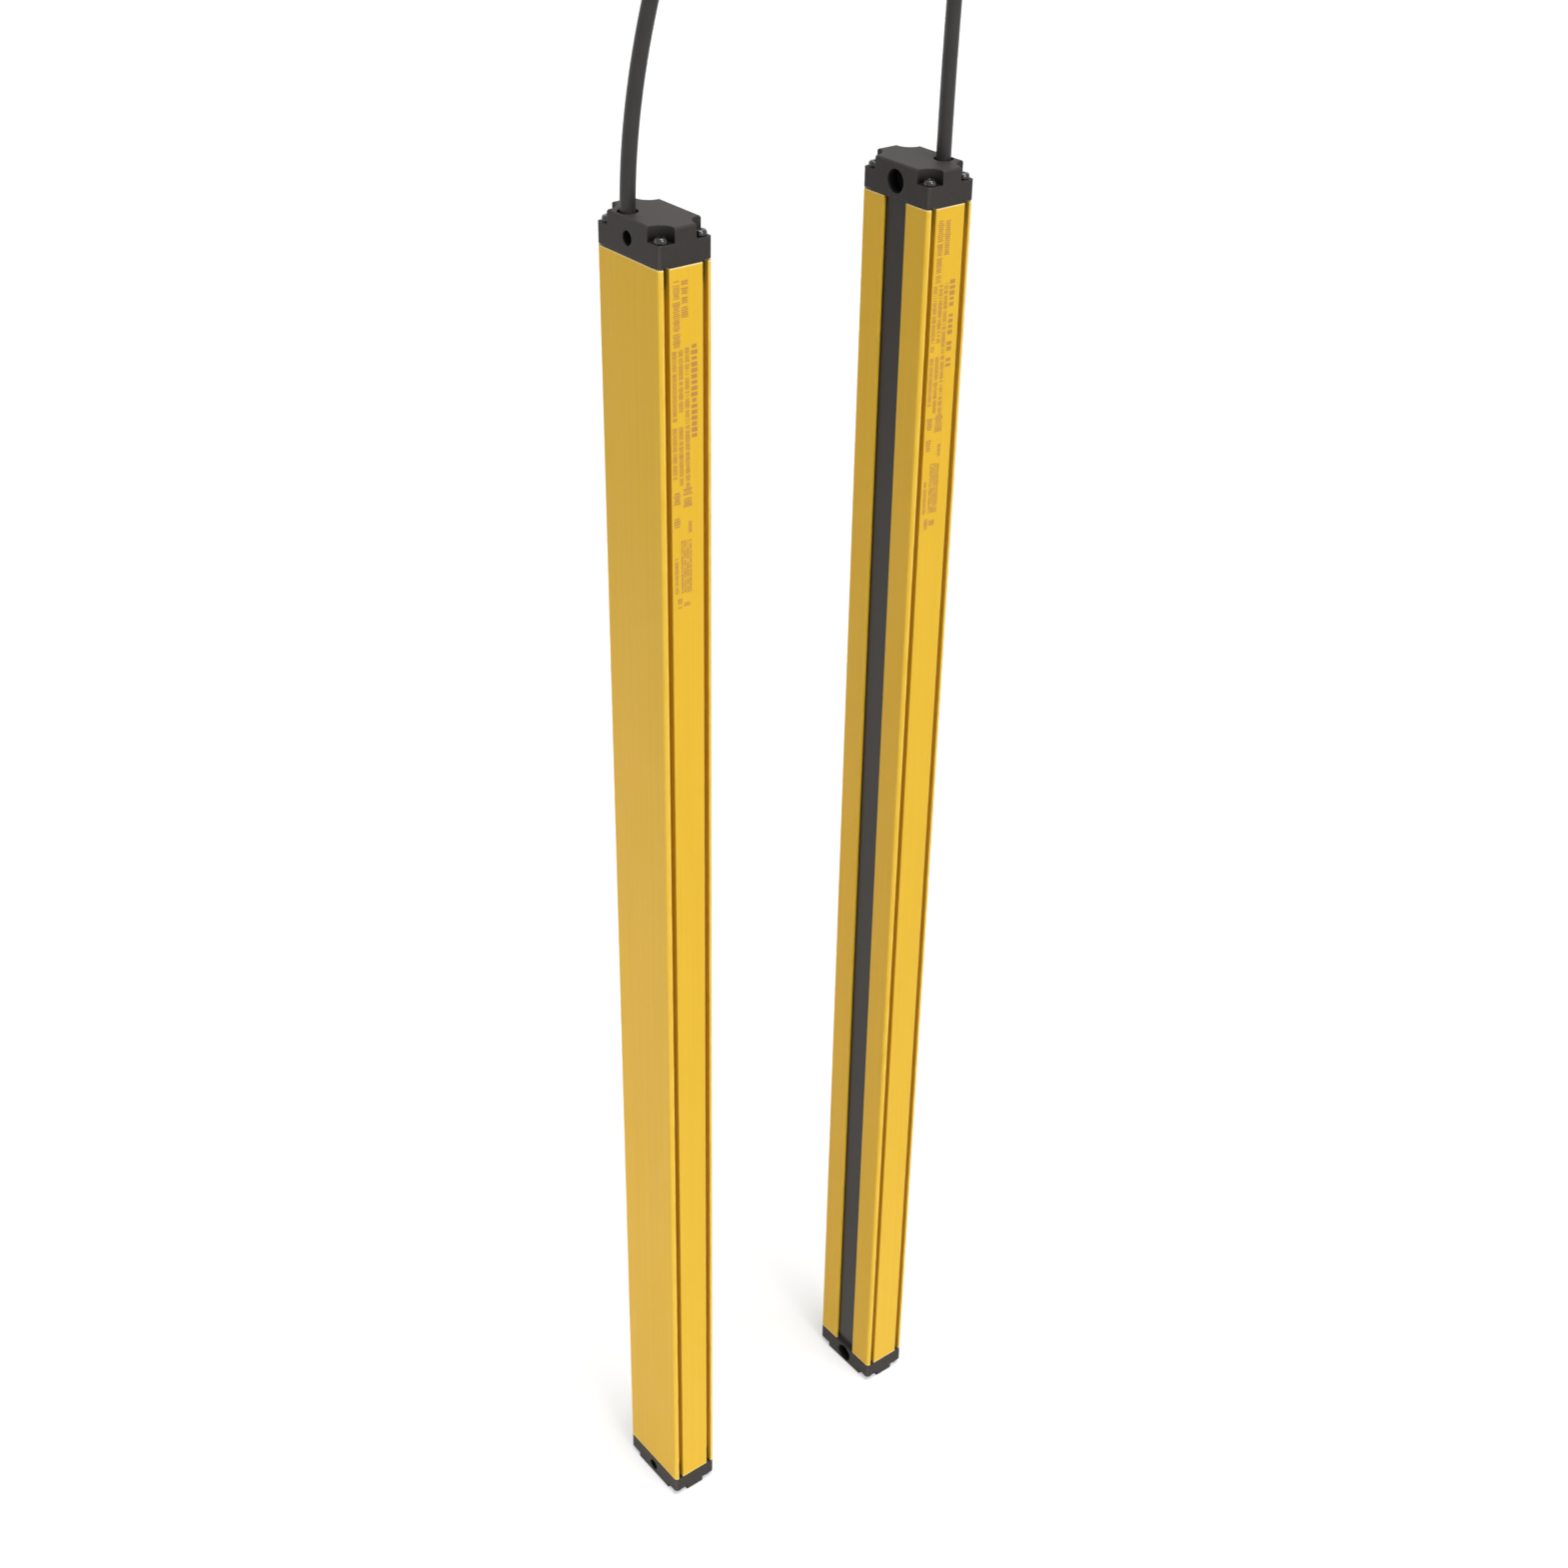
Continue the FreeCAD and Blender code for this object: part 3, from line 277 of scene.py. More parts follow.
rubber = Finish("black_rubber")
pores = rubber.grain(5200, detail=2)
bloom = rubber.ranged(rubber.grain(120, detail=4), 0.45, 0.75)
rubber.surface(
    Base_Color=rubber.mixed(0.35 * bloom, tone(24, 23, 23), tone(52, 50, 49)),
    Roughness=0.72 + 0.15 * bloom,
    Normal=rubber.relief(pores, 0.00003, rubber.rounded(0.0002)),
)
dress(rubber, "window_seal", "window_sill", "top_gasket", "bottom_gasket")


# ------------------------------------------------------------------------------------------ optics
# Behind the window a moulded black carrier holds a clear strip with one lens for each beam. A web
# stands between each two beams, so that no light strays. The infrared diodes sit on the boards behind.
moulding = Finish("black_moulding")
spark = moulding.grain(2300, detail=3, spread=0.7)
flow = moulding.grain(1, stretch=(90, 90, 900), detail=2)
moulding.surface(
    Base_Color=moulding.mixed(0.5 * spark + 0.5 * flow, tone(25, 25, 27), tone(38, 38, 40)),
    Roughness=0.52 + 0.16 * spark,
    Normal=moulding.relief(spark, 0.00003, moulding.rounded(0.0002)),
)
dress(moulding, "optic_carrier", "board_link")

clear = Finish("clear_acrylic")
ripple = clear.grain(260, detail=2)
clear.surface(
    Base_Color=clear.mixed(ripple, tone(222, 232, 238), tone(236, 243, 246)),
    Roughness=0.06 + 0.06 * ripple,
    Transmission_Weight=0.85,
    IOR=1.49,
    Normal=clear.relief(ripple, 0.00002, clear.rounded(0.0008)),
)
dress(clear, "lens_strip")

resin = Finish("diode_resin")
cast = resin.grain(900, detail=2)
resin.surface(
    Base_Color=resin.mixed(cast, tone(40, 24, 58), tone(62, 38, 84)),
    Roughness=0.14 + 0.10 * cast,
    Coat_Weight=0.5,
    Coat_Roughness=0.08,
    Normal=resin.relief(cast, 0.00003, resin.rounded(0.0007)),
)
dress(resin, "beam_diodes")


# ------------------------------------------------------------------------------------- electronics
# Two glass-fibre boards slide in the carrier's grooves and a plug block joins them. A driver chip sits
# behind each two beams, with four supply capacitors. Three light pipes end behind the window's foot.
board = Finish("circuit_board")
x, _, z = board.split(board.where())
threads = {"Vector": board.where(), "Scale": 900.0, "Distortion": 0.4}
weave = board.node("TexWave", {"wave_type": "BANDS"}, threads)
lane_plan = {
    "Vector": board.node("CombineXYZ", {}, {0: z, 1: x}),
    "Scale": 1.0,
    "Mortar Size": 0.00022,
    "Mortar Smooth": 0.1,
    "Brick Width": 0.0091,
    "Row Height": 0.00127,
}
lane = board.node("TexBrick", {"offset": 0.5}, lane_plan, "Fac")
pad_plan = {"Vector": board.where(), "Scale": 210.0, "Randomness": 0.55}
pads = board.node("TexVoronoi", {}, pad_plan) < 0.16
masked = board.mixed(lane, tone(18, 78, 46), tone(34, 112, 62))
woven = board.mixed(0.12 * weave, masked, tone(90, 130, 70))
board.surface(
    Base_Color=board.mixed(pads, woven, tone(205, 168, 92)),
    Metallic=0.9 * pads,
    Roughness=0.36 - 0.10 * lane,
    Normal=board.relief(0.6 * lane + 0.4 * pads, 0.00004),
)
dress(board, "lower_board", "upper_board")

epoxy = Finish("chip_epoxy")
_, _, z = epoxy.split(epoxy.where())
side, _, _ = epoxy.facing()
ground = epoxy.grain(3800, detail=2)
legs_per_metre = 787.0
tooth = (z * legs_per_metre).fraction() < 0.42
legs = tooth * (abs(side) > 0.5)
moulded = epoxy.mixed(ground, tone(26, 26, 28), tone(40, 40, 42))
epoxy.surface(
    Base_Color=epoxy.mixed(legs, moulded, tone(196, 194, 190)),
    Metallic=0.95 * legs,
    Roughness=0.62 - 0.34 * legs,
    Normal=epoxy.relief(ground + 3.0 * legs, 0.00002, epoxy.rounded(0.0002)),
)
dress(epoxy, "driver_chips")

tantalum = Finish("capacitor_case")
_, _, above = tantalum.facing()
speck = tantalum.grain(2600, detail=2)
tinned = abs(above) > 0.5
ochre = tantalum.mixed(speck, tone(206, 132, 40), tone(222, 150, 56))
tantalum.surface(
    Base_Color=tantalum.mixed(tinned, ochre, tone(190, 190, 188)),
    Metallic=0.95 * tinned,
    Roughness=0.45 - 0.15 * tinned,
    Normal=tantalum.relief(speck, 0.00002, tantalum.rounded(0.0004)),
)
dress(tantalum, "capacitors")

pipes = Finish("status_lamps")
x, _, _ = pipes.split(pipes.where())
frost = pipes.grain(1800, detail=2)
lamp_tones = [(0.0, tone(40, 160, 70)), (0.35, tone(232, 170, 40)), (0.65, tone(214, 48, 38))]
hue = pipes.node("ValToRGB", {"bands": lamp_tones}, {0: pipes.ranged(x, -0.0065, 0.0065)}, "Color")
pipes.surface(
    Base_Color=pipes.mixed(0.2 * frost, hue, tone(240, 238, 230)),
    Roughness=0.22 + 0.12 * frost,
    Transmission_Weight=0.5,
    IOR=1.49,
    Normal=pipes.relief(frost, 0.00001, pipes.rounded(0.0002)),
)
dress(pipes, "status_lamps")

strands = Finish("wire_bundle")
side, front, _ = strands.facing()
turned = front.worked("ARCTAN2", front, side)
wire_tones = [
    (0.0, tone(96, 62, 40)),
    (0.17, tone(226, 222, 212)),
    (0.34, tone(58, 120, 62)),
    (0.5, tone(222, 184, 60)),
    (0.67, tone(128, 128, 130)),
    (0.84, tone(206, 130, 140)),
]
hue = strands.node("ValToRGB", {"bands": wire_tones}, {0: strands.ranged(turned, -3.15, 3.15)}, "Color")
scuff = strands.grain(900, stretch=(1, 1, 0.2), detail=2)
strands.surface(
    Base_Color=strands.mixed(0.15 * scuff, hue, tone(40, 38, 36)),
    Roughness=0.45 + 0.15 * scuff,
    Normal=strands.relief(scuff, 0.00002, strands.rounded(0.0006)),
)
dress(strands, "inner_lead")

nylon = Finish("natural_nylon")
mottle = nylon.grain(700, detail=3)
nylon.surface(
    Base_Color=nylon.mixed(mottle, tone(226, 221, 204), tone(238, 234, 220)),
    Roughness=0.42 + 0.12 * mottle,
    Normal=nylon.relief(mottle, 0.00002, nylon.rounded(0.0003)),
)
dress(nylon, "lead_plug")


# ---------------------------------------------------------------------------------------- end caps
# The end caps are moulded in dark grey glass-filled nylon. A hollow plug under each fits the housing,
# its corners are scooped out over the four screws, and an M6 hole goes through it from front to back.
# The tool's fine spark finish makes it matt, and handling has buffed its edges. A painted highlight
# runs down the outer corners, and painted shade darkens the scooped corners, the M6 holes and other hollows.
shell = Finish("cap_nylon")
spark = shell.grain(1900, detail=3, spread=0.65)
fibres = shell.ranged(shell.grain(2600, stretch=(1, 1, 0.25), detail=1), 0.66, 0.74)
clouds = shell.grain(70, detail=3)
x, y, _ = shell.split(shell.where())
across = abs(abs(y) - bar_middle)
# Painted highlight: a lighter line down each outer corner of the cap.
corner = shell.ranged(abs(x) + across, corner_reach - 0.0015, corner_reach - 0.0011)
handled = shell.ranged(shell.grain(300, stretch=(1, 1, 0.4), detail=2), 0.25, 0.7, 0.3, 1.0)
# Real edge wear from handling and the painted corner highlight together.
polish_and_highlight = shell.ranged(shell.edges(0.0008) + corner, 0.0, 1.0) * handled
matt_tone = shell.mixed(0.6 * clouds + 0.4 * spark, tone(44, 41, 39), tone(56, 52, 50))
highlight_and_wear_tone = shell.mixed(0.28 * polish_and_highlight + 0.12 * fibres, matt_tone, tone(112, 106, 103))
# Painted shade: the base colour goes near black deep in the scooped corners, the M6 holes and other hollows.
shell.surface(
    Base_Color=shell.mixed(0.95 * shell.hollow(0.009, 0.62), highlight_and_wear_tone, tone(8, 7, 7)),
    Roughness=0.48 + 0.14 * spark - 0.14 * polish_and_highlight,
    Specular_IOR_Level=0.20,
    Normal=shell.relief(spark, 0.000035, shell.rounded(0.0008)),
)
dress(shell, "top_cap", "bottom_cap")


# --------------------------------------------------------------------------------- end cap screws
# Four black-zinc pan head screws hold each cap. Their heads sit on the floors of the scooped corners,
# and their threads cut into the housing's ports. Each head has a cross recess, left as it was driven.
port_x = 0.01885  # from a bar's middle planes to its screws
port_y = 0.00985
head_height = 0.0026
arm_half = 0.00036  # half the width of the cross recess's arms
recess_depth = 0.0014
driven = random.Random(11)


def new_piece(name, shape, finishes, slot, *stands_for):
    """Makes an object of a finished bmesh and hands it to the frame."""
    mesh = bpy.data.meshes.new(name)
    shape.to_mesh(mesh)
    shape.free()
    for finish in finishes:
        mesh.materials.append(finish.material)
    mesh.shade_smooth()
    mesh.set_sharp_from_angle(angle=math.radians(38))
    piece = bpy.data.objects.new(name, mesh)
    bpy.context.scene.collection.objects.link(piece)
    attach(piece, "root")
    if stands_for:
        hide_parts(*stands_for)
    return piece


def spun(shape, outline, sides, closed=False):
    """Turns an outline of (radius, height) points once round the upright axis."""
    points = [shape.verts.new((radius, 0, height)) for radius, height in outline]
    pairs = list(zip(points, points[1:] + points[:1])) if closed else list(zip(points, points[1:]))
    lines = [shape.edges.new(pair) for pair in pairs]
    bmesh.ops.spin(
        shape,
        geom=points + lines,
        cent=(0, 0, 0),
        axis=(0, 0, 1),
        angle=2 * math.pi,
        steps=sides,
        use_merge=True,
    )
    bmesh.ops.remove_doubles(shape, verts=shape.verts, dist=0.000001)


def threaded(shape, root, crest, start, turns, pitch, sides):
    """Winds a triangular ridge round the upright axis, with its two ends closed."""
    corners = ((root, start), (crest, start + pitch / 2), (root, start + pitch))
    points = [shape.verts.new((radius, 0, height)) for radius, height in corners]
    end = shape.faces.new(points)
    bmesh.ops.spin(
        shape,
        geom=[end] + points + list(end.edges),
        cent=(0, 0, 0),
        axis=(0, 0, 1),
        dvec=(0, 0, pitch / sides),
        angle=2 * math.pi * turns,
        steps=sides * turns,
    )


def cap_screw(length):
    """One screw, its seat at the origin, head up and point down."""
    shape = bmesh.new()
    head = [(0.0020, 0.0026), (0.0024, 0.00245), (0.0027, 0.0020), (0.0029, 0.0012), (0.0029, 0.0003)]
    shank = [(0.0028, 0.0), (0.0016, 0.0), (0.0016, 0.013 - length), (0.0013, 0.0125 - length)]
    point = [(0.0013, 0.0010 - length), (0.0007, -length), (0.0, -length)]
    spun(shape, head + shank + point, 24)
    old = set(shape.faces)
    cross = bmesh.ops.create_grid(
        shape, x_segments=3, y_segments=3, size=0.0016, matrix=Matrix.Translation((0, 0, head_height))
    )["verts"]
    for vert in cross:
        for axis in (0, 1):
            if abs(vert.co[axis]) < 0.001:
                vert.co[axis] = math.copysign(arm_half, vert.co[axis])
    arms = [face for face in shape.faces if face not in old]
    middles = {face: face.calc_center_median() for face in arms}
    outer = [face for face in arms if min(abs(middles[face].x), abs(middles[face].y)) > 0.0004]
    bmesh.ops.delete(shape, geom=outer, context="FACES")
    arms = [face for face in arms if face.is_valid]
    rims = [edge for edge in shape.edges if len(edge.link_faces) == 1]
    bmesh.ops.bridge_loops(shape, edges=rims)
    sunk = bmesh.ops.extrude_face_region(shape, geom=arms)["geom"]
    floor_verts = [item for item in sunk if isinstance(item, bmesh.types.BMVert)]
    bmesh.ops.delete(shape, geom=[face for face in arms if face.is_valid], context="FACES_KEEP_BOUNDARY")
    bmesh.ops.scale(shape, vec=(0.72, 0.72, 1), verts=floor_verts)
    bmesh.ops.translate(shape, vec=(0, 0, -recess_depth), verts=floor_verts)
    pitch = 0.0012
    threaded(shape, root=0.00125, crest=0.0016, start=pitch - length, turns=8, pitch=pitch, sides=12)
    bmesh.ops.recalc_face_normals(shape, faces=shape.faces)
    mesh = bpy.data.meshes.new("one_screw")
    shape.to_mesh(mesh)
    shape.free()
    return mesh


zinc = Finish("black_zinc")
passivated = zinc.grain(800, detail=3)
bare = zinc.edges(0.0003) * zinc.ranged(zinc.grain(2200, detail=2), 0.35, 0.6)
dark_tone = zinc.mixed(passivated, tone(22, 21, 19), tone(40, 38, 35))
shown_tone = zinc.mixed(0.6 * bare, dark_tone, tone(176, 172, 166))
# Painted shade: the base colour goes near black deep in each cross recess.
zinc.surface(
    Base_Color=zinc.mixed(0.8 * zinc.hollow(0.0016), shown_tone, tone(5, 5, 5)),
    Metallic=0.85,
    Roughness=0.20 + 0.12 * passivated,
    Coat_Weight=1.0,
    Coat_Roughness=0.07,
    Normal=zinc.relief(passivated, 0.00002, zinc.rounded(0.0002)),
)
for bar in BARS:
    low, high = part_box(f"{bar}_housing")
    middle = (low + high) / 2
    for end in ("top", "bottom"):
        low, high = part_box(f"{bar}_{end}_screws")
        one = cap_screw(high.z - low.z - head_height)
        seat = high.z - head_height if end == "top" else low.z + head_height
        turned_over = Matrix.Rotation(0 if end == "top" else math.pi, 4, "X")
        shape = bmesh.new()
        for side_x, side_y in ((1, 1), (1, -1), (-1, 1), (-1, -1)):
            before = set(shape.verts)
            shape.from_mesh(one)
            screw = [vert for vert in shape.verts if vert not in before]
            place = Matrix.Translation((side_x * port_x, middle.y + side_y * port_y, seat))
            turn = Matrix.Rotation(driven.uniform(0, math.pi), 4, "Z")
            bmesh.ops.transform(shape, matrix=place @ turned_over @ turn, verts=screw)
        bpy.data.meshes.remove(one)
        new_piece(f"{bar}_{end}_pan_head_screws", shape, [zinc], "screw_steel", f"{bar}_{end}_screws")


# ------------------------------------------------------------------------------------ cable bushes
# A round rubber bush grips each cable in the recess of its top cap and keeps water out. It is pressed
# in over the cable before the cap is screwed on, and its lip is rounded.
for bar in BARS:
    low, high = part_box(f"{bar}_cable_gland")
    middle = (low + high) / 2
    shape = bmesh.new()
    lip = [(0.0034, 0), (0.0034, 0.0026), (0.0037, 0.0029), (0.0041, 0.0029), (0.0044, 0.0027)]
    lip += [(0.0045, 0.0023), (0.0045, 0)]
    spun(shape, lip, 40, closed=True)
    bmesh.ops.translate(shape, vec=(middle.x, middle.y, low.z), verts=shape.verts)
    bmesh.ops.recalc_face_normals(shape, faces=shape.faces)
    new_piece(f"{bar}_cable_bush", shape, [rubber], "seal_rubber", f"{bar}_cable_gland")


# ------------------------------------------------------------------------------- cable connectors
# Each cable ends in a straight round connector: a ribbed grip moulded over the jacket, a nickel-plated
# brass coupling nut that turns on it, and a block of five sockets inside the nut.
routes = {  # each cable's seat in its cap, its bend and its connector
    "emitter": ((-0.0074, -0.0804, 0.7425), (-0.0074, -0.0804, 0.7945), (0.0024, -0.0676, 0.8505)),
    "receiver": ((0.0074, 0.0804, 0.7425), (0.0074, 0.0804, 0.7955), (0.0086, 0.0820, 0.8505)),
}
grip_end = 0.027  # these three are measured along the connector, from the cable's end
nut_end = 0.041
block_end = 0.039
nut_flat = 0.0070  # from the nut's axis

overmould = Finish("connector_moulding")
grained = overmould.grain(2800, detail=3)
rubbed = overmould.edges(0.0004) * overmould.grain(500, detail=2)
black_tone = overmould.mixed(grained, tone(26, 26, 27), tone(36, 35, 36))
overmould.surface(
    Base_Color=overmould.mixed(0.4 * rubbed, black_tone, tone(92, 90, 88)),
    Roughness=0.48 + 0.15 * grained,
    Specular_IOR_Level=0.35,
    Normal=overmould.relief(grained, 0.00003, overmould.rounded(0.0003)),
)

nickel = Finish("nickel_plating")
turned_lines = nickel.grain(1, stretch=(60, 60, 5200), detail=2)
tarnish = nickel.ranged(nickel.grain(260, detail=4), 0.5, 0.8)
nickel.surface(
    Base_Color=nickel.mixed(0.5 * tarnish, tone(186, 181, 170), tone(146, 136, 114)),
    Metallic=1.0,
    Roughness=0.24 + 0.12 * turned_lines + 0.18 * tarnish,
    Normal=nickel.relief(turned_lines, 0.000006, nickel.rounded(0.0003)),
)

socket_block = Finish("socket_block")
smooth = socket_block.grain(1200, detail=2)
socket_block.surface(
    Base_Color=socket_block.mixed(smooth, tone(30, 30, 31), tone(40, 40, 41)),
    Roughness=0.40 + 0.12 * smooth,
    Normal=socket_block.relief(smooth, 0.00001, socket_block.rounded(0.0002)),
)

gilding = Finish("gilded_contact")
rubbing = gilding.grain(1500, detail=2)
gilding.surface(
    Base_Color=gilding.mixed(rubbing, tone(214, 172, 88), tone(232, 196, 118)),
    Metallic=1.0,
    Roughness=0.22 + 0.12 * rubbing,
    Normal=gilding.relief(rubbing, 0.000005),
)


def connector_grip():
    """Cable end with four bend rings, a barrel with ribs between sunk facets, and a flange for the nut."""
    shape = bmesh.new()
    outline = [(0.0, 0.0), (0.0040, 0.0), (0.0042, 0.0004)]
    for ring in range(4):
        foot = 0.0014 + 0.0023 * ring
        swell = 0.00012 * ring
        outline += [(0.0042 + swell, foot), (0.0048 + swell, foot + 0.0003)]
        outline += [(0.0048 + swell, foot + 0.0012), (0.0042 + swell, foot + 0.0015)]
    outline += [(0.0048, 0.0110), (0.0062, 0.0114), (0.0068, 0.0124), (0.0068, 0.0134), (0.0068, 0.0236)]
    outline += [(0.0068, 0.0240), (0.0062, 0.0243), (0.0062, 0.0249), (0.0070, 0.0252), (0.0070, 0.0266)]
    spun(shape, outline + [(0.0067, grip_end), (0, grip_end)], 36)
    bmesh.ops.recalc_face_normals(shape, faces=shape.faces)
    barrel = [face for face in shape.faces if 0.0135 < face.calc_center_median().z < 0.0235]
    barrel.sort(key=lambda face: math.atan2(face.calc_center_median().y, face.calc_center_median().x))
    bmesh.ops.inset_individual(shape, faces=barrel[::2], thickness=0.00018, depth=-0.0005)
    return shape


def coupling_nut():
    """Round turned nut with six flats, a groove under its collar and a thread in its bore."""
    shape = bmesh.new()
    outline = [(0.0061, grip_end), (0.0074, grip_end), (0.0081, 0.0277), (0.0081, 0.0296), (0.0069, 0.0299)]
    outline += [(0.0069, 0.0309), (0.0081, 0.0312), (0.0081, 0.0402), (0.0074, nut_end), (0.0062, nut_end)]
    spun(shape, outline + [(0.0059, nut_end - 0.0004), (0.0059, 0.0274)], 48, closed=True)
    for flat in range(6):
        facing = Vector((math.cos(flat * math.pi / 3), math.sin(flat * math.pi / 3), 0))
        for vert in shape.verts:
            vert.co -= facing * max(0, vert.co.dot(facing) - nut_flat)
    threaded(shape, root=0.0060, crest=0.0055, start=0.0282, turns=11, pitch=0.001, sides=32)
    bmesh.ops.recalc_face_normals(shape, faces=shape.faces)
    return shape


def contact_block():
    """Round block with a key flat and five gilded sockets."""
    key_side = 0.0043
    key_depth = 0.0006
    socket_depth = 0.004
    shape = bmesh.new()
    top = Matrix.Translation((0, 0, block_end))
    rim = bmesh.ops.create_circle(shape, segments=36, radius=0.0044, matrix=top)["verts"]
    for vert in rim:
        if vert.co.y > key_side:
            vert.co.y -= key_depth
    rim_edges = list(shape.edges)
    holes = []
    for number in range(5):
        angle = math.pi / 4 + number * math.pi / 2
        reach = 0.0026 if number < 4 else 0.0
        centre = Matrix.Translation((reach * math.cos(angle), reach * math.sin(angle), block_end))
        known = set(shape.edges)
        bmesh.ops.create_circle(shape, segments=10, radius=0.00058, matrix=centre)
        holes.append([edge for edge in shape.edges if edge not in known])
    bmesh.ops.triangle_fill(shape, use_beauty=True, edges=list(shape.edges))
    for edges in holes:
        made = bmesh.ops.extrude_edge_only(shape, edges=edges)["geom"]
        bottom = [item for item in made if isinstance(item, bmesh.types.BMVert)]
        bmesh.ops.translate(shape, vec=(0, 0, -socket_depth), verts=bottom)
        for face in (item for item in made if isinstance(item, bmesh.types.BMFace)):
            face.material_index = 1
        ends = [item for item in made if isinstance(item, bmesh.types.BMEdge) and item.is_boundary]
        for face in bmesh.ops.edgeloop_fill(shape, edges=ends)["faces"]:
            face.material_index = 1
    made = bmesh.ops.extrude_edge_only(shape, edges=rim_edges)["geom"]
    foot = [item for item in made if isinstance(item, bmesh.types.BMVert)]
    bmesh.ops.translate(shape, vec=(0, 0, grip_end - block_end), verts=foot)
    ends = [item for item in made if isinstance(item, bmesh.types.BMEdge) and item.is_boundary]
    bmesh.ops.edgeloop_fill(shape, edges=ends)
    bmesh.ops.recalc_face_normals(shape, faces=shape.faces)
    return shape


for bar in BARS:
    corner, end = Vector(routes[bar][1]), Vector(routes[bar][2])
    lean = Vector((0, 0, 1)).rotation_difference(end - corner).to_matrix().to_4x4()
    for name, build, finishes, slot, node in (
        ("ribbed_grip", connector_grip, [overmould], "connector_moulding", "connector_grip"),
        ("coupling_nut", coupling_nut, [nickel], "nickel_brass", "connector_nut"),
        ("contact_block", contact_block, [socket_block, gilding], "insert_plastic", "connector_insert"),
    ):
        shape = build()
        bmesh.ops.transform(shape, matrix=Matrix.Translation(end) @ lean, verts=shape.verts)
        new_piece(f"{bar}_{name}", shape, finishes, slot, f"{bar}_{node}")


# ------------------------------------------------------------------------------------------ cables
# The cables are round, PVC-jacketed and 6.8 mm thick. Each leaves its cap straight up, held from above:
# the emitter's leans over gently and the receiver's is all but plumb. Both end in their connectors.
jacket = Finish("pvc_jacket")
matt = jacket.grain(2400, stretch=(1, 1, 0.35), detail=3)
lay_marks = jacket.grain(160, stretch=(1, 1, 0.6), detail=2)
lint = jacket.ranged(jacket.grain(1500, detail=1), 0.74, 0.80)
pvc_tone = jacket.mixed(lay_marks, tone(38, 36, 35), tone(48, 45, 44))
jacket.surface(
    Base_Color=jacket.mixed(0.3 * lint, pvc_tone, tone(100, 96, 92)),
    Roughness=0.34 + 0.12 * matt,
    Specular_IOR_Level=0.35,
    Normal=jacket.relief(0.5 * matt + 0.5 * lay_marks, 0.00002),
)
for bar in BARS:
    curve = bpy.data.curves.new(f"{bar}_jacketed_cable", "CURVE")
    curve.dimensions = "3D"
    curve.resolution_u = 24
    curve.bevel_depth = 0.0034
    curve.bevel_resolution = 6
    curve.use_fill_caps = True
    line = curve.splines.new("NURBS")
    line.points.add(len(routes[bar]) - 1)
    for point, place in zip(line.points, routes[bar]):
        point.co = (*place, 1)
    line.order_u = 3
    line.use_endpoint_u = True
    curve.materials.append(jacket.material)
    cable = bpy.data.objects.new(f"{bar}_jacketed_cable", curve)
    bpy.context.scene.collection.objects.link(cable)
    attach(cable, "root")
    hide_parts(f"{bar}_cable")


# ------------------------------------------------------------------------------------ printed data
# Each bar's data is printed in brown ink on its label side, below the top cap. Only the rows are here, as
# plain strokes that spell nothing: two headings, a widely spaced row, blocks of fine rows and six codes.
ink = Finish("brown_ink")
starved = ink.grain(1500, detail=2)
ink.surface(
    Base_Color=ink.mixed(starved, tone(176, 122, 54), tone(204, 152, 74)),
    Roughness=0.5 + 0.1 * starved,
    Specular_IOR_Level=0.35,
    Normal=ink.relief(starved, 0.000004),
)
ink_depth = 0.03
left_out = 0.1  # share of the strokes
# Every row is in millimetres: its start below the housing's top, its length, its offset from the
# side's middle, the height of its strokes and the step from one to the next.
headings = [(6.3, 16.4, -0.9, 3.6, 1.0), (5.8, 29.2, -5.1, 3.8, 0.9), (34.8, 42.5, 3.8, 3.4, 2.65)]
fine_rows = [(35.6, 31.5, -6.4, 2.6, 0.6), (35.4, 28.7, -3.1, 2.6, 0.6), (35.0, 33.9, 0.1, 2.6, 0.6)]
fine_rows += [(69.5, 23.8, -6.5, 2.5, 0.6), (69.5, 28.0, -3.2, 2.6, 0.6), (69.4, 28.8, 0.2, 2.6, 0.6)]
fine_rows += [(122.3, 25.6, -3.2, 1.4, 0.4), (122.3, 25.6, -1.7, 1.4, 0.4), (122.6, 25.6, -0.2, 1.4, 0.4)]
fine_rows += [(122.6, 25.6, 1.3, 1.4, 0.4), (130.4, 17.7, -6.2, 2.1, 0.7)]
codes = [(99.4, 6.8, -5.6, 3.7, 1.2), (98.5, 9.0, 0.0, 5.0, 1.1), (110.2, 7.0, -5.7, 3.7, 1.2)]
codes += [(113.3, 6.5, 1.2, 2.3, 0.7), (150.4, 6.0, -4.6, 2.8, 1.0), (152.0, 3.4, -0.8, 3.8, 1.0)]
for bar in BARS:
    low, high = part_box(f"{bar}_housing")
    strokes = random.Random(5 if bar == "emitter" else 9)
    shape = bmesh.new()
    for start, length, offset, tall, step in headings + fine_rows + codes:
        for number in range(int(length / step)):
            if strokes.random() < left_out:
                continue
            size = Vector((ink_depth, tall * strokes.uniform(0.7, 1.0), step * strokes.uniform(0.5, 0.8)))
            centre = Vector((ink_depth / 2, offset, -start - number * step))
            corner = Vector((high.x, (low.y + high.y) / 2, high.z))
            place = Matrix.LocRotScale(corner + centre / 1000, None, size / 1000)
            bmesh.ops.create_cube(shape, size=1, matrix=place)
    new_piece(f"{bar}_printed_rows", shape, [ink], "yellow_anodised")


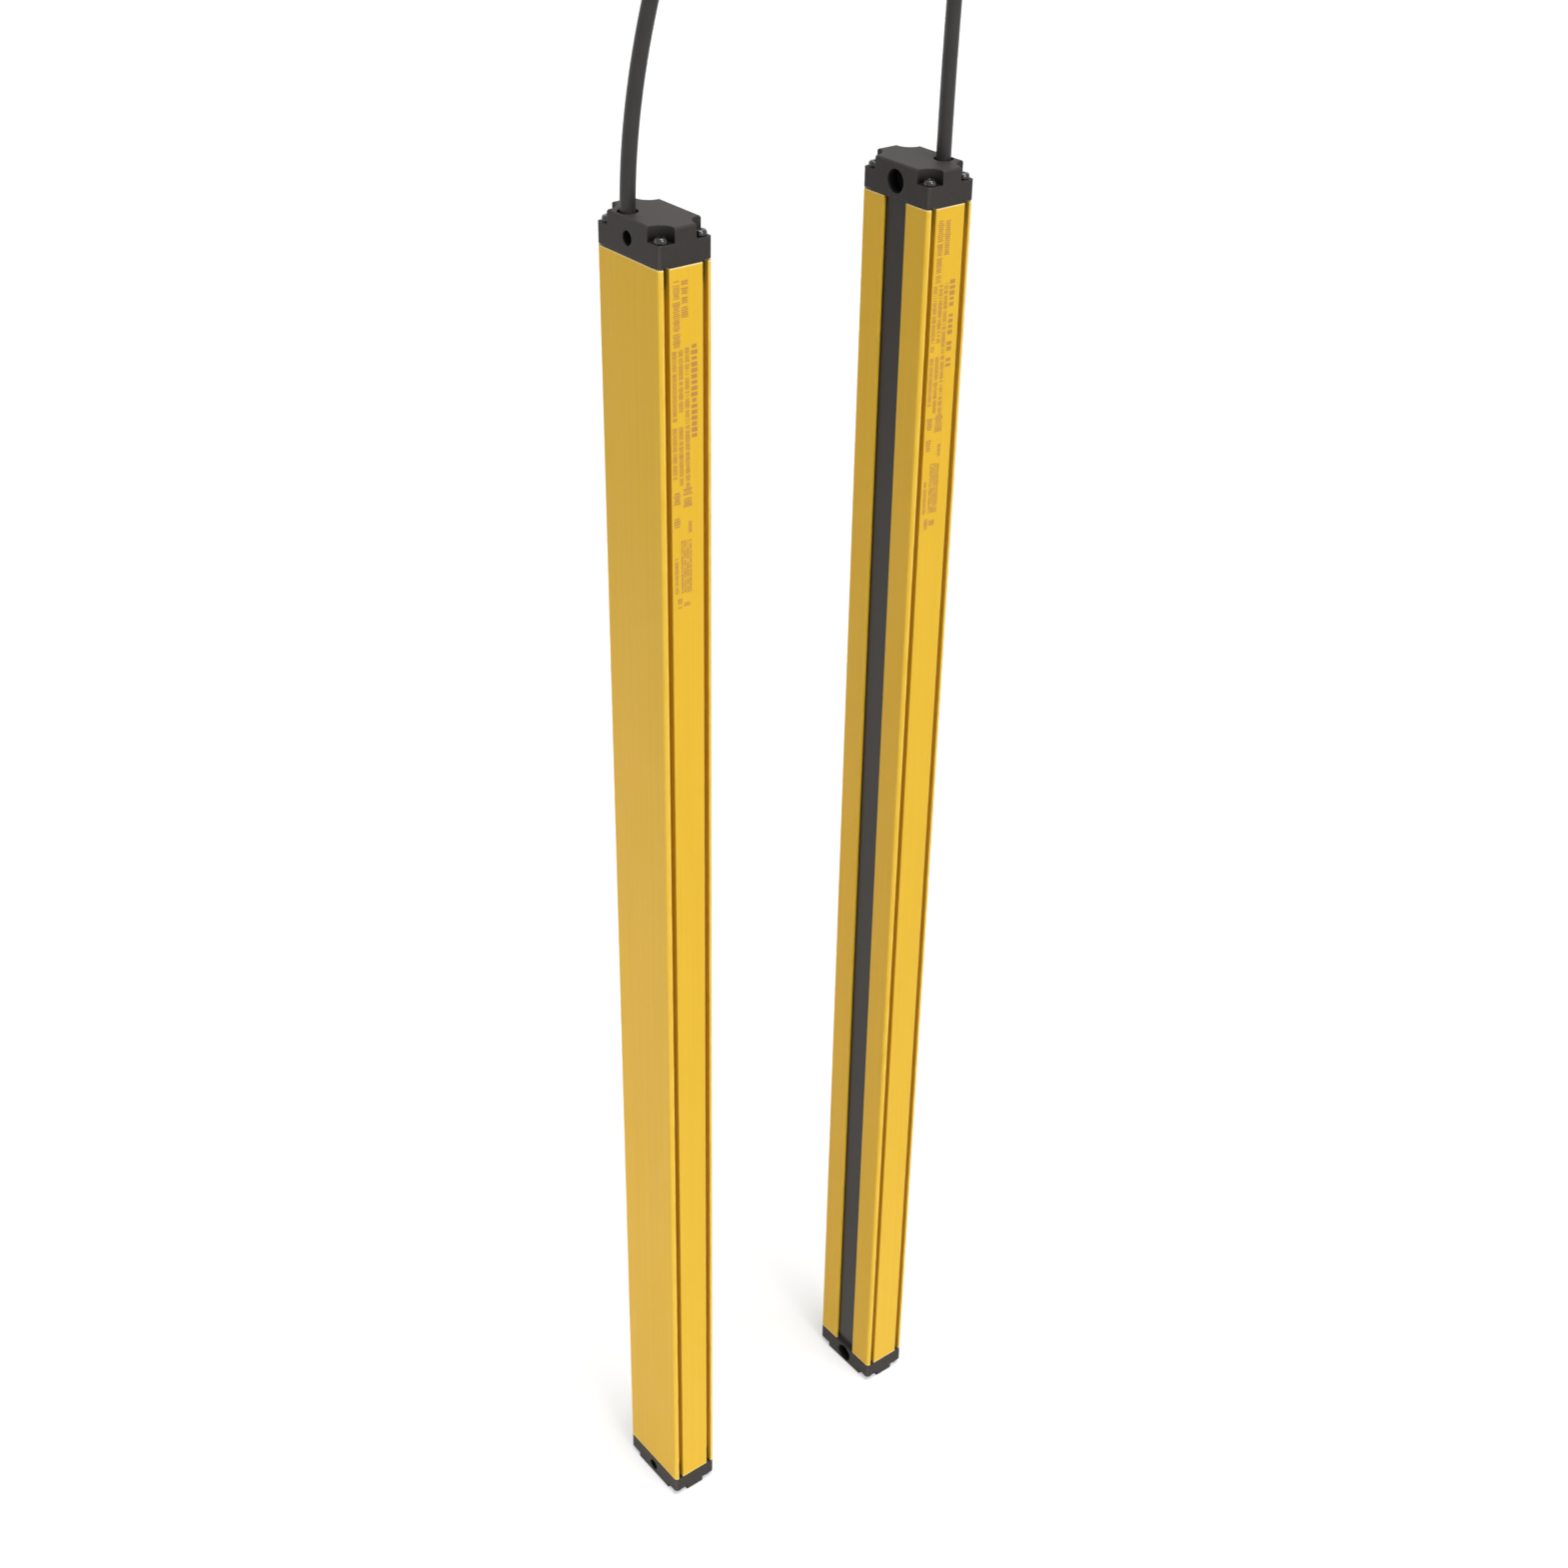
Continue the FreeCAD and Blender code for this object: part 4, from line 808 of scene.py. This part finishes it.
# ------------------------------------------------------------------------- floor, light and camera
# A plain pale floor under the bars, soft light from overhead and from both sides, a low fill card by the
# emitter's back, and a white surround. The camera looks down on that back and the receiver's window.
paper = Finish("pale_floor")
camera_ray = paper.node("LightPath", {}, {}, "Is Camera Ray")
mirrored = camera_ray.part("Is Glossy Ray") + camera_ray.part("Is Transmission Ray")
direct = paper.ranged(camera_ray + mirrored, 0, 1)
tooth = paper.grain(900, detail=3)
paper_tone = paper.mixed(tooth, tone(196, 196, 196), tone(200, 200, 200))
matt_paper = paper.node("BsdfDiffuse", {}, {"Color": paper_tone})
glow = paper.node("Emission", {}, {"Color": (1, 1, 1, 1), "Strength": 0.42 * direct})
paper.node("OutputMaterial", {}, {"Surface": paper.node("AddShader", {}, {0: matt_paper, 1: glow})})
shape = bmesh.new()
under_feet = Matrix.Translation((0, 0, -0.0002))
bmesh.ops.create_grid(shape, x_segments=1, y_segments=1, size=12, matrix=under_feet)
mesh = bpy.data.meshes.new("floor")
shape.to_mesh(mesh)
shape.free()
mesh.materials.append(paper.material)
floor = bpy.data.objects.new("floor", mesh)
bpy.context.scene.collection.objects.link(floor)
floor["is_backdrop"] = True

room = Finish("white_room", bpy.data.worlds)
camera_ray = room.node("LightPath", {}, {}, "Is Camera Ray")
mirrored = camera_ray.part("Is Glossy Ray") + camera_ray.part("Is Transmission Ray")
level = room.ranged(camera_ray + mirrored, 0, 1, 0.23, 1.0)
sky = room.node("Background", {}, {"Color": (1, 1, 1, 1), "Strength": level})
room.node("OutputWorld", {}, {"Surface": sky})
bpy.context.scene.world = room.material


def hang(lamp, place, aim, shine=True):
    """Puts a lamp at a place, turned to what it lights, where no view shows it. It may leave no shine."""
    holder = bpy.data.objects.new(lamp.name, lamp)
    holder.location = place
    holder.rotation_euler = (Vector(place) - Vector(aim)).to_track_quat("Z", "Y").to_euler()
    holder.visible_camera = False
    holder.visible_glossy = shine
    bpy.context.scene.collection.objects.link(holder)


for name, place, power, spread, shine in (
    ("overhead_light", (0.27, -0.02, 1.0), 2.9, 35, True),
    ("label_side_light", (1.0, -0.08, 0.35), 1.1, 20, True),
    ("far_side_light", (-1.0, 0.35, 0.15), 0.8, 40, False),
):
    lamp = bpy.data.lights.new(name, "SUN")
    lamp.energy = power
    lamp.angle = math.radians(spread)
    hang(lamp, place, (0, 0, 0), shine)
card = bpy.data.lights.new("low_fill_card", "AREA")
card.shape = "RECTANGLE"
card.size = 0.9
card.size_y = 0.4
card.energy = 1.5
card.color = (1.0, 0.90, 0.72)
hang(card, (-0.15, -0.66, 0.12), (0, -0.1, 0.12))

azimuth = math.radians(51.266)
height = math.radians(31.491)
roll = math.radians(1.129)
back = Vector((math.sin(azimuth) * math.cos(height), -math.cos(azimuth) * math.cos(height), math.sin(height)))
level_right = Vector((math.cos(azimuth), math.sin(azimuth), 0))
level_up = back.cross(level_right)
right = math.cos(roll) * level_right + math.sin(roll) * level_up
facing = Matrix((right, back.cross(right), back)).transposed().to_4x4()
view = bpy.data.cameras.new("view")
view.sensor_width = 36
view.lens = 49.0
camera = bpy.data.objects.new("view", view)
camera.matrix_world = Matrix.Translation((0.7148, -0.5713, 1.0051)) @ facing
bpy.context.scene.collection.objects.link(camera)
bpy.context.scene.camera = camera
bpy.context.scene.view_settings.view_transform = "Standard"

low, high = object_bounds()
